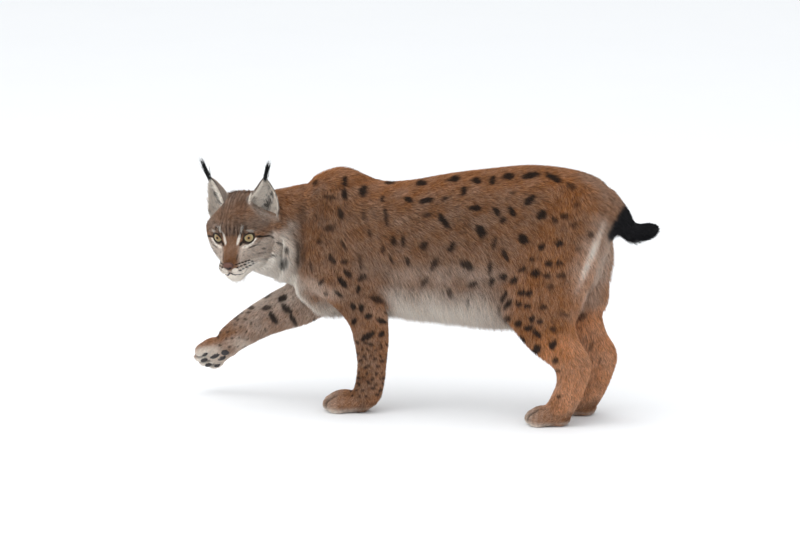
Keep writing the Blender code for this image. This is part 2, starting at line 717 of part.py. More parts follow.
# Cutters for the legs: z, x from, x to, y from, y to.
HIND_LEFT_CUT = (
    (0.462, 0.215, 0.300, -0.200, -0.038),
    (0.440, 0.175, 0.328, -0.200, -0.036),
    (0.400, 0.145, 0.352, -0.200, -0.032),
    (0.340, 0.125, 0.362, -0.200, -0.026),
    (0.290, 0.118, 0.380, -0.200, -0.016),
    (0.255, 0.118, 0.400, -0.200, -0.003),
    (-0.050, 0.118, 0.400, -0.200, -0.003),
)
HIND_RIGHT_CUT = tuple((z, a, b + 0.035, -y1, -y0) for z, a, b, y0, y1 in HIND_LEFT_CUT)
FORE_LEFT_CUT = (
    (0.440, -0.280, -0.225, -0.200, -0.040),
    (0.420, -0.308, -0.200, -0.200, -0.038),
    (0.370, -0.328, -0.180, -0.200, -0.034),
    (0.310, -0.322, -0.150, -0.200, -0.028),
    (0.255, -0.300, -0.120, -0.200, -0.020),
    (0.205, -0.285, -0.100, -0.200, 0.012),
    (-0.050, -0.290, -0.100, -0.200, 0.012),
)
FORE_RIGHT_CUT = (
    (0.430, -0.300, -0.235, 0.040, 0.200),
    (0.405, -0.325, -0.215, 0.038, 0.200),
    (0.350, -0.360, -0.205, 0.034, 0.200),
    (0.300, -0.400, -0.210, 0.028, 0.200),
    (0.250, -0.560, -0.225, 0.022, 0.200),
    (0.200, -0.640, -0.240, 0.013, 0.200),
    (-0.050, -0.720, -0.260, 0.013, 0.200),
)


def part_leg(leg, cuts):
    """Parts a leg along planes: each cut is a start, a way towards the foot, and the name beyond it."""
    pieces = [leg]
    for start, way, name in cuts:
        cutter = slab("cutter", Vector(start) + Vector(way).normalized() * GAP, Vector(way), 0.5, 0.30)
        grown = slab("grown", Vector(start), Vector(way), 0.5, 0.30)
        pieces.append(take(pieces[-1], name, cutter, grown))
    return pieces


def body_pieces():
    legs = [
        level_leg("hind", HIND_LEFT, -1.0),
        level_leg(
            "hind",
            [
                (z, x + HIND_RIGHT_REACH * min(1.0, max(0.0, (0.46 - z) / 0.26)), h, y, w)
                for z, x, h, y, w in HIND_LEFT
            ],
        ),
        level_leg("fore", FORE_LEFT),
        lifted_leg(),
    ]
    paws = (
        paw(FORE_PAW_LEFT, PAW_BLOBS)
        + paw(FORE_PAW_RIGHT, PAW_BLOBS + PAD_BLOBS, LIFTED_PAW_SIZE)
        + paw(HIND_PAW_LEFT, PAW_BLOBS, HIND_PAW_SIZE)
        + paw(HIND_PAW_RIGHT, PAW_BLOBS, HIND_PAW_SIZE)
    )
    whole = fuse("whole", [torso(), neck(), tail(), *legs, *paws, skull()], BODY_VOXEL, 6, BODY_TRIANGLES)
    chance = random.Random(LOCK_SEED)
    locks_on(whole, list(row_aims(BODY_LOCKS, chance)), chance)
    floor = slab("floor", Vector((0, 0, 0)), Vector((0, 0, -1)), 0.2, 1.0)
    boolean(whole, floor, "DIFFERENCE")
    bpy.data.objects.remove(floor, do_unlink=True)
    keep_largest(whole)

    found = {}

    def leg(levels, names, planes):
        piece = take(whole, names[0], prism("cutter", levels), prism("grown", levels, GAP))
        cuts = [(start, way, name) for (start, way), name in zip(planes, names[1:])]
        for made in part_leg(piece, cuts):
            found[made.name] = made

    down = (0, 0, -1)
    leg(
        HIND_LEFT_CUT,
        ("thigh_left", "shank_left", "hind_foot_left"),
        (((0.22, -0.06, 0.232), (0.25, 0, -1)), ((0.29, -0.06, 0.118), (-0.2, 0, -1))),
    )
    leg(
        HIND_RIGHT_CUT,
        ("thigh_right", "shank_right", "hind_foot_right"),
        (((0.25, 0.06, 0.232), (0.25, 0, -1)), ((0.32, 0.06, 0.118), (-0.2, 0, -1))),
    )
    leg(
        FORE_LEFT_CUT,
        ("upper_foreleg_left", "forearm_left", "forepaw_left"),
        (((-0.19, -0.06, 0.238), down), ((-0.18, -0.04, 0.062), down)),
    )
    leg(
        FORE_RIGHT_CUT,
        ("upper_foreleg_right", "forearm_right", "forepaw_right"),
        (((-0.352, 0.067, 0.235), (-1, 0, -0.45)), ((-0.520, 0.061, 0.134), (-1, 0, -0.80))),
    )
    head_side = head_box()
    boolean(whole, head_side, "DIFFERENCE")
    bpy.data.objects.remove(head_side, do_unlink=True)
    keep_largest(whole)
    neck_start, neck_way = Vector((-0.322, 0, 0.47)), Vector((-1, 0, 0.36))
    found["neck"] = take(
        whole,
        "neck",
        slab("cutter", neck_start + neck_way.normalized() * GAP, neck_way, 0.3, 0.20),
        slab("grown", neck_start, neck_way, 0.3, 0.20),
    )
    found["tail"] = take(
        whole, "tail", plate("cutter", TAIL_CUT, 0.1), plate("grown", TAIL_CUT, 0.1, GAP)
    )
    whole.name = "torso"
    found["torso"] = whole
    return found


def eye_centre(side):
    f, l, u = EYE_AT
    return in_head(f, side * l, u)


def eye_way(side):
    """The way the eye's opening faces."""
    out, up = math.radians(EYE_OUT), math.radians(EYE_UP)
    local = Vector((math.cos(out) * math.cos(up), side * math.sin(out) * math.cos(up), math.sin(up)))
    return head_axes() @ local


def lid_opening(side):
    """An almond prism that opens the lids along the eye's way."""
    way = eye_way(side)
    head_up = head_axes().col[2]
    across = head_up.cross(way).normalized() * side
    up = way.cross(across).normalized() * side
    slant = math.radians(LID_SLANT)
    points = []
    count = 18
    for reach in (0.004, 0.03):
        for k in range(count):
            a = 2 * math.pi * k / count
            x = LID_HALF_WIDTH * math.cos(a) / 1000
            y = LID_HALF_HEIGHT * math.sin(a) * (1 - 0.25 * math.cos(a) ** 2) / 1000
            along = x * math.cos(slant) - y * math.sin(slant)
            above = x * math.sin(slant) + y * math.cos(slant)
            points.append(eye_centre(side) + way * reach + across * along + up * above)
    faces = [tuple(range(count)), tuple(range(2 * count - 1, count - 1, -1))]
    faces += [(k, (k + 1) % count, count + (k + 1) % count, count + k) for k in range(count)]
    return mesh_object("opening", points, faces)


def ball(name, centre, radius, segments=18, rings=11, way=None):
    turn = (way.to_track_quat("Z", "Y") if way else Matrix.Identity(3).to_quaternion()).to_matrix()
    return blob(name, centre, (radius, radius, radius), turn, segments, rings)


def mouth_cutter():
    """A thin curved sheet where the lips meet, from corner to corner under the nose."""
    # forward, left and up of the lip line in millimetres, from the middle to the left corner
    line = ((112, 0, -45), (108, 9, -52), (99, 20, -57), (84, 32, -59), (66, 40, -57))
    line = smooth_rows([*[(f, -l, u) for f, l, u in line[:0:-1]], *line], 3)
    inner = line * (0.84, 0.80, 1.0)
    half = 0.7
    rings = []
    for (f, l, u), (fi, li, ui) in zip(line, inner):
        rings.append([in_head(f * 1.05, l * 1.12, u - half), in_head(f * 1.05, l * 1.12, u + half)])
        rings[-1] += [in_head(fi, li, ui + half), in_head(fi, li, ui - half)]
    points = [p for ring in rings for p in ring]
    faces = [
        (4 * i + k, 4 * i + (k + 1) % 4, 4 * i + 4 + (k + 1) % 4, 4 * i + 4 + k)
        for i in range(len(rings) - 1)
        for k in range(4)
    ]
    last = 4 * (len(rings) - 1)
    faces += [(0, 1, 2, 3), (last + 3, last + 2, last + 1, last)]
    return mesh_object("mouth", points, faces)


def ear_frame(side):
    """Root, tip, and the unit ways across and out of the opening, in the head's millimetres."""
    root, tip, across = (Vector((p[0], side * p[1], p[2])) for p in (EAR_ROOT, EAR_TIP, EAR_ACROSS))
    across.normalize()
    opening = (across.cross(tip - root) * side).normalized()
    return root, tip, across, opening


def ear(name, side):
    """A tall pointed cup: arcs that narrow to the tip, open forwards and outwards, with a wall."""
    root, tip, across, opening = ear_frame(side)
    rows, columns = 8, 10
    bow = EAR_BOW_LEFT if side > 0 else EAR_BOW_RIGHT
    outer, inner = [], []
    for i in range(rows):
        t = i / (rows - 1) * 1.25 - 0.25
        high = max(t, 0.0)
        width = EAR_HALF_WIDTH * (1 - high) ** 0.85 * (1 + 0.25 * high) + 1.8
        depth = EAR_DEPTH * (1 - high) ** 0.8 + 1.8
        wall = min(EAR_WALL * (1 - 0.45 * high), 0.5 * width, 0.5 * depth)
        middle = root.lerp(tip, t) + across * (4 * high * (1 - high) * bow)
        for k in range(columns):
            a = math.radians(-106 + 212 * k / (columns - 1))
            away = Vector((width * math.sin(a), depth * math.cos(a)))
            inward = Vector((math.sin(a) / width, math.cos(a) / depth)).normalized() * wall
            outer.append(middle + across * away.x - opening * away.y)
            near = away - inward
            inner.append(middle + across * near.x - opening * near.y)
    axes = head_axes()
    points = [HEAD_AT + axes @ (p / 1000) for p in outer + inner]
    shift = rows * columns
    faces = []
    for i in range(rows - 1):
        for k in range(columns - 1):
            a, b, c, d = i * columns + k, i * columns + k + 1, (i + 1) * columns + k + 1, (i + 1) * columns + k
            faces += [(a, b, c, d), (a + shift, d + shift, c + shift, b + shift)]
    rim = [i * columns for i in range(rows)]
    rim += [(rows - 1) * columns + k for k in range(1, columns)]
    rim += [i * columns + columns - 1 for i in range(rows - 2, -1, -1)]
    rim += [k for k in range(columns - 2, 0, -1)]
    for a, b in zip(rim, rim[1:] + rim[:1]):
        faces.append((a, b, b + shift, a + shift))
    made = mesh_object(name, points, faces)
    for hair in tuft(side):
        boolean(made, hair, "UNION")
        bpy.data.objects.remove(hair, do_unlink=True)
    return made


def ear_well(side):
    """The hollow that carries the ear's cup down into the head."""
    root, tip, across, opening = ear_frame(side)
    middle = root.lerp(tip, EAR_WELL_AT) - opening * EAR_WELL_BACK
    along = across.cross(opening)
    turn = head_axes() @ Matrix((across, opening, along)).transposed()
    if side < 0:
        turn = turn @ Matrix.Diagonal((1, 1, -1))
    return blob("well", in_head(*middle), [r / 1000 for r in EAR_WELL], turn, 16, 10)


def tuft(side):
    """The locks of the ear's tuft, rooted in the tip: how far across they end, how long, how wide."""
    root, tip, across, opening = ear_frame(side)
    axes = head_axes()
    start = tip - (tip - root).normalized() * 8
    end = Vector(TUFT_END_LEFT if side > 0 else TUFT_END_RIGHT)
    made = []
    for shift, share, width in TUFT_LOCKS:
        way = axes @ (end + across * shift - start)
        bend = axes @ (opening * -0.08 + across * (0.004 * shift))
        flat = (axes @ opening).cross(way).normalized()
        made.append(lock(in_head(*start), way.normalized(), flat, bend, share * way.length / 1000, width))
    return made


def nose(name):
    """The bare nose leather: a broad wedge with two nostrils."""
    axes = head_axes()
    turn = axes @ Matrix.Rotation(math.radians(20), 3, "Y")
    pad = blob(name, in_head(106, 0, -27), (0.0075, 0.0135, 0.0095), turn, 16, 9)
    for side in (1, -1):
        hole = blob("hole", in_head(114, side * 6.2, -29), (0.006, 0.0026, 0.0022), axes, 8, 5)
        boolean(pad, hole, "DIFFERENCE")
        bpy.data.objects.remove(hole, do_unlink=True)
    return pad


def grown_copy(obj, amount):
    """A copy whose points all stand out along their normals."""
    made = copy_of(obj, "grown")
    push = made.modifiers.new("push", "DISPLACE")
    push.strength = amount
    push.mid_level = 0.0
    settle(made)
    return made


def head_pieces():
    head = fuse(
        "head",
        [neck(), skull(), ruff(1), ruff(-1), *head_masses(HEAD_BLOBS)],
        HEAD_VOXEL,
        8,
        HEAD_TRIANGLES,
    )
    chance = random.Random(LOCK_SEED)
    aims = list(row_aims(HEAD_LOCKS, chance, lambda at: in_head(*at), head_axes()))
    aims += [aim for side in (1, -1) for aim in ruff_aims(side, chance)]
    locks_on(head, aims, chance)
    front = head_box(1000 * GAP)
    boolean(head, front, "INTERSECT")
    bpy.data.objects.remove(front, do_unlink=True)
    found = {"head": head}
    for side, label in ((1, "left"), (-1, "right")):
        radius = EYE_RADIUS / 1000
        lids = ball("lids", eye_centre(side), radius + LID_THICKNESS / 1000)
        boolean(head, lids, "UNION")
        socket = ball("socket", eye_centre(side), radius + 2.5 * GAP)
        boolean(head, socket, "DIFFERENCE")
        opening = lid_opening(side)
        boolean(head, opening, "DIFFERENCE")
        for tool in (lids, socket, opening):
            bpy.data.objects.remove(tool, do_unlink=True)
        found["eye_" + label] = ball("eye_" + label, eye_centre(side), radius, 16, 9, eye_way(side))
    mouth = mouth_cutter()
    boolean(head, mouth, "DIFFERENCE")
    bpy.data.objects.remove(mouth, do_unlink=True)
    for side in (1, -1):
        well = ear_well(side)
        boolean(head, well, "DIFFERENCE")
        bpy.data.objects.remove(well, do_unlink=True)
    keep_largest(head)
    pad = nose("nose")
    found["nose"] = pad
    seat = grown_copy(pad, GAP * 1.5)
    boolean(head, seat, "DIFFERENCE")
    bpy.data.objects.remove(seat, do_unlink=True)
    keep_largest(head)
    clear = grown_copy(head, GAP * 1.5)
    for side, label in ((1, "left"), (-1, "right")):
        made = ear("ear_" + label, side)
        boolean(made, clear, "DIFFERENCE")
        keep_largest(made)
        found["ear_" + label] = made
    bpy.data.objects.remove(clear, do_unlink=True)
    return found


def finish(pieces):
    coat = material("coat", COAT_COLOUR, 0.85)
    dark = material("dark_fur", DARK_COLOUR, 0.8)
    leather = material("nose_leather", NOSE_COLOUR, 0.5)
    glassy = material("eye", EYE_COLOUR, 0.15)
    special = {"tail": dark, "nose": leather, "eye_left": glassy, "eye_right": glassy}
    for name, obj in pieces.items():
        keep_largest(obj)
        obj.name = name
        obj.data.name = name
        obj.data.transform(Matrix.Translation(-MIDDLE))
        obj.data.materials.clear()
        obj.data.materials.append(special.get(name, coat))
        obj.data.shade_smooth()
        obj.data.set_sharp_from_angle(angle=math.radians(50))


def clear(obj, other):
    """Cuts from the object what lies within the gap of the other one."""
    room = grown_copy(other, GAP * 1.5)
    boolean(obj, room, "DIFFERENCE")
    bpy.data.objects.remove(room, do_unlink=True)
    keep_largest(obj)


def main():
    clear_scene()
    pieces = body_pieces()
    pieces.update(head_pieces())
    clear(pieces["head"], pieces["upper_foreleg_left"])
    finish(pieces)


main()
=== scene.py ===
"""Looks of a life-size Eurasian lynx: one skin, a coat of mesh tufts, face, ears, eyes, pads and stage.

Lengths are metres unless a name or comment says millimetres. The animal is drawn in the frame of its
own stations, facing -X with its left flank on -Y, and every finished piece is moved by -MIDDLE.
"""

import math

import bmesh
import bpy
import numpy as np
from bpy.props import FloatProperty, FloatVectorProperty, PointerProperty
from mathutils import Matrix, Vector
from mathutils.bvhtree import BVHTree


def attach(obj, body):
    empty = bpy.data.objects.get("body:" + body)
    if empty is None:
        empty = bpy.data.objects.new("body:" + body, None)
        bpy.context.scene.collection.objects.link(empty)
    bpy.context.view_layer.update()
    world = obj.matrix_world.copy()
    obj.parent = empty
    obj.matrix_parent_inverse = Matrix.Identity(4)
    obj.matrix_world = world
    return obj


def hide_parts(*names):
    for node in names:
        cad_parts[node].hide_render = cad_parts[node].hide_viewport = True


bl_info = {
    "name": "Eurasian Lynx",
    "version": (1, 0, 0),
    "blender": (4, 5, 0),
    "location": "View3D > Sidebar > Lynx",
    "description": "Builds the skin, coat, face and stage of a walking lynx",
    "category": "Add Mesh",
}

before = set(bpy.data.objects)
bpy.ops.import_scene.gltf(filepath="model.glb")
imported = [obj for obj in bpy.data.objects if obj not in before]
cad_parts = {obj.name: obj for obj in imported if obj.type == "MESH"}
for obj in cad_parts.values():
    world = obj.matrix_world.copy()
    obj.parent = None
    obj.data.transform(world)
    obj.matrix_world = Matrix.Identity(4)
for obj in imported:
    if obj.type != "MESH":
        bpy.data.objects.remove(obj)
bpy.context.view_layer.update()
MIDDLE = np.array([-0.0742, -0.0316, 0.0])
MM = 0.001

# Torso, from chest to rump: x, top z, bottom z, half width.
TORSO = (
    (-0.378, 0.430, 0.300, 0.040),
    (-0.352, 0.490, 0.255, 0.070),
    (-0.312, 0.532, 0.232, 0.090),
    (-0.250, 0.553, 0.236, 0.104),
    (-0.170, 0.529, 0.240, 0.108),
    (-0.100, 0.531, 0.241, 0.110),
    (0.000, 0.552, 0.236, 0.112),
    (0.100, 0.569, 0.230, 0.108),
    (0.180, 0.579, 0.236, 0.102),
    (0.250, 0.577, 0.262, 0.096),
    (0.305, 0.567, 0.305, 0.090),
    (0.338, 0.553, 0.345, 0.076),
    (0.356, 0.534, 0.385, 0.052),
)
# Neck, from the withers to the nape: x, y, z, half width, half depth upwards and downwards.
NECK = (
    (-0.255, 0.000, 0.400, 0.085, 0.120, 0.120),
    (-0.310, 0.000, 0.400, 0.086, 0.118, 0.125),
    (-0.356, -0.006, 0.402, 0.084, 0.107, 0.122),
    (-0.400, -0.022, 0.405, 0.082, 0.095, 0.108),
    (-0.434, -0.052, 0.410, 0.078, 0.084, 0.094),
    (-0.452, -0.085, 0.414, 0.066, 0.068, 0.076),
)
# Tail, from the rump to the tip: x, z, half width, half depth.
TAIL = (
    (0.318, 0.526, 0.030, 0.029),
    (0.343, 0.513, 0.032, 0.031),
    (0.365, 0.494, 0.031, 0.030),
    (0.382, 0.473, 0.030, 0.029),
    (0.396, 0.452, 0.028, 0.027),
    (0.413, 0.440, 0.025, 0.024),
    (0.433, 0.438, 0.024, 0.022),
    (0.452, 0.441, 0.022, 0.020),
    (0.465, 0.445, 0.017, 0.015),
)
# Hind leg in level slices, from hip to ankle: z, x, half length, distance from the middle, half width.
HIND = (
    (0.500, 0.282, 0.060, 0.046, 0.038),
    (0.440, 0.262, 0.092, 0.052, 0.047),
    (0.380, 0.243, 0.108, 0.056, 0.051),
    (0.320, 0.226, 0.104, 0.058, 0.050),
    (0.270, 0.220, 0.091, 0.058, 0.046),
    (0.235, 0.223, 0.078, 0.058, 0.042),
    (0.195, 0.243, 0.069, 0.058, 0.038),
    (0.162, 0.270, 0.062, 0.058, 0.035),
    (0.135, 0.292, 0.046, 0.058, 0.032),
    (0.105, 0.294, 0.037, 0.058, 0.030),
    (0.075, 0.284, 0.036, 0.058, 0.030),
    (0.045, 0.270, 0.036, 0.058, 0.031),
    (0.020, 0.258, 0.032, 0.058, 0.030),
)
# How far the right hind leg stands aft of the left one: how much, the height under which it starts, and
# the height over which it grows.
HIND_RIGHT_REACH = 0.034
HIND_RIGHT_HIP = 0.46
HIND_RIGHT_SWING = 0.26
# Fluff behind the far knee hollow: how much it adds, its height and its spread.
HIND_RIGHT_FLUFF = (0.0075, 0.268, 0.042)
# Left foreleg in level slices, from shoulder to wrist: z, x, half length, y, half width.
FORE_LEFT = (
    (0.480, -0.250, 0.052, -0.056, 0.034),
    (0.420, -0.256, 0.078, -0.060, 0.042),
    (0.360, -0.262, 0.088, -0.062, 0.046),
    (0.300, -0.240, 0.082, -0.062, 0.045),
    (0.250, -0.196, 0.062, -0.060, 0.041),
    (0.210, -0.176, 0.047, -0.056, 0.037),
    (0.170, -0.170, 0.041, -0.051, 0.034),
    (0.120, -0.170, 0.035, -0.044, 0.031),
    (0.075, -0.175, 0.034, -0.039, 0.031),
    (0.040, -0.184, 0.035, -0.036, 0.033),
    (0.020, -0.194, 0.034, -0.035, 0.032),
)
# Right foreleg along its reach, from shoulder to wrist: x, y, z, half width, half depth.
FORE_RIGHT = (
    (-0.245, 0.054, 0.470, 0.036, 0.052),
    (-0.275, 0.060, 0.400, 0.044, 0.076),
    (-0.305, 0.064, 0.330, 0.046, 0.082),
    (-0.328, 0.067, 0.268, 0.044, 0.072),
    (-0.362, 0.068, 0.226, 0.041, 0.056),
    (-0.410, 0.067, 0.201, 0.039, 0.048),
    (-0.455, 0.065, 0.178, 0.037, 0.042),
    (-0.500, 0.063, 0.149, 0.034, 0.037),
    (-0.532, 0.061, 0.124, 0.033, 0.033),
)
# Paws: the middle of the sole, the heading in degrees from -X towards -Y, the pitch of the toes, the roll
# that turns the sole to the left, the size.
PAWS = {
    "fore_paw_left": ((-0.218, -0.035, 0.000), 6.0, 0.0, 0.0, 1.0),
    "fore_paw_right": ((-0.546, 0.044, 0.090), -4.0, 26.0, 46.0, 0.97),
    "hind_paw_left": ((0.248, -0.058, 0.000), 4.0, 0.0, 0.0, 0.92),
    "hind_paw_right": ((0.282, 0.058, 0.000), -4.0, 0.0, 0.0, 0.92),
}
PAW_SINK = 0.004
# One paw, forward along +X from the middle of the sole: x, y, z, then the three radii.
PAW_BLOBS = (
    (0.014, 0.000, 0.026, 0.046, 0.039, 0.028),
    (-0.018, 0.000, 0.026, 0.030, 0.033, 0.026),
    (0.044, 0.011, 0.021, 0.024, 0.0145, 0.0205),
    (0.044, -0.011, 0.021, 0.024, 0.0145, 0.0205),
    (0.031, 0.030, 0.018, 0.023, 0.0135, 0.0185),
    (0.031, -0.030, 0.018, 0.023, 0.0135, 0.0185),
)
# Bare pads under the lifted paw, in the same terms.
PAD_BLOBS = (
    (0.013, 0.008, 0.003, 0.013, 0.007, 0.005),
    (0.004, -0.008, 0.003, 0.012, 0.007, 0.005),
    (-0.014, 0.004, 0.003, 0.010, 0.009, 0.005),
    (0.041, 0.009, 0.004, 0.010, 0.006, 0.005),
    (0.043, -0.012, 0.004, 0.009, 0.006, 0.005),
    (0.029, 0.026, 0.004, 0.008, 0.005, 0.004),
    (0.028, -0.027, 0.004, 0.008, 0.005, 0.004),
)
# Head: its middle, and how far it is turned, tipped down and rolled, in degrees.
HEAD_AT = np.array([-0.461, -0.084, 0.419])
HEAD_YAW = 7.2
HEAD_PITCH = 26.8
HEAD_ROLL = 5.0
# Slices of the head from nape to nose, in its millimetres: forward, the middle's height, half width,
# height over it, depth under it.
HEAD_SLICES = (
    (-70, 0, 66, 52, 62),
    (-45, 2, 80, 66, 78),
    (-20, 0, 85, 71, 84),
    (8, -3, 83, 66, 86),
    (28, -7, 75, 56, 84),
    (43, -12, 65, 45, 78),
    (55, -18, 51, 34, 70),
    (68, -26, 37, 28, 60),
    (82, -35, 31, 26, 47),
    (94, -41, 26, 24, 39),
    (102, -42, 16, 17, 26),
)
# Rounder masses on it, made on both sides where they are off the middle: forward, left, up, the three
# radii, the pitch.
HEAD_BLOBS = (
    (37, 29, 25, 15, 22, 12, 0),
    (74, 0, -8, 36, 16, 12, 24),
    (86, 16, -42, 21, 18, 17, 0),
    (98, 0, -28, 13, 13, 11, 0),
    (86, 0, -64, 15, 17, 16, 0),
)
NAPE_SLICES = 3
NAPE_SINK = 1.5
# The ruff's core down each cheek: forward, left, up of its middle, half depth, half width.
RUFF = (
    (-26, 70, 28, 12, 8),
    (-16, 75, 0, 15, 10),
    (-9, 77, -32, 18, 13),
    (-5, 72, -64, 19, 15),
    (-4, 63, -95, 18, 14),
    (-4, 51, -120, 14, 12),
    (-4, 44, -132, 8, 8),
)
# How far the middle of each ruff stands forward and out from that core, left and right.
RUFF_OUT = {1: (12.0, 31.0), -1: (-22.0, -8.0)}
# The near cheek's swell that meets the ruff: its middle and its radii.
CHEEK = ((-6, 80, -32), (25, 35, 62))
# Eyes, in the head's millimetres and degrees.
EYE_AT = (38.5, 34.6, 6.2)
EYE_RADIUS = 15.0
EYE_OUT = 22.0
EYE_UP = 12.0
LID_RADIUS = 17.3
LID_HALF_WIDTH = 14.4
LID_HALF_HEIGHT = 10.2
LID_SLANT = 20.0
# Where the lips meet, from the middle to the left corner: forward, left, up.
MOUTH = ((112, 0, -45), (108, 9, -52), (99, 20, -57), (84, 32, -59), (66, 40, -57))
# Nose leather: its middle, its radii and its pitch.
NOSE_AT = (106.0, 0.0, -27.0)
NOSE_RADII = (7.0, 12.5, 9.0)
NOSE_PITCH = -20.0
# Ears: root, tip, the way across from the inner to the outer rim, and the ends of the tufts.
EAR_ROOT = (-27.0, 55.0, 44.0)
EAR_TIP = (-50.0, 68.0, 104.0)
EAR_ACROSS = (-17.0, 55.0, -44.0)
EAR_HALF_WIDTH = 38.0
EAR_BOW = {1: 6.0, -1: -2.0}
EAR_DEPTH = 25.0
# The bottom of the ear's cup: its share of the height, how it curves up to the sides, and where it is lowest.
EAR_FLOOR = -0.36
EAR_FLOOR_RISE = 0.00012
EAR_FLOOR_AT = 8.0
EAR_LOWEST = -0.46
EAR_BEHIND = 1.2
EAR_WALL = 2.6
EAR_TUFT_END = {1: (-52.0, 92.0, 150.0), -1: (-50.0, -76.0, 160.0)}

# The view that the markings are read in, as pixels of an 800 by 533 picture: metres for each pixel, the
# pixel of the point (0, 0, 0), and the camera's place round the animal in degrees.
PIXEL = 0.00225
PIXEL_ORIGIN = (450.0, 412.8)
PICTURE_MIDDLE = (400.0, 266.5)
VIEW_AZIMUTH = 14.0
VIEW_ELEVATION = 12.0

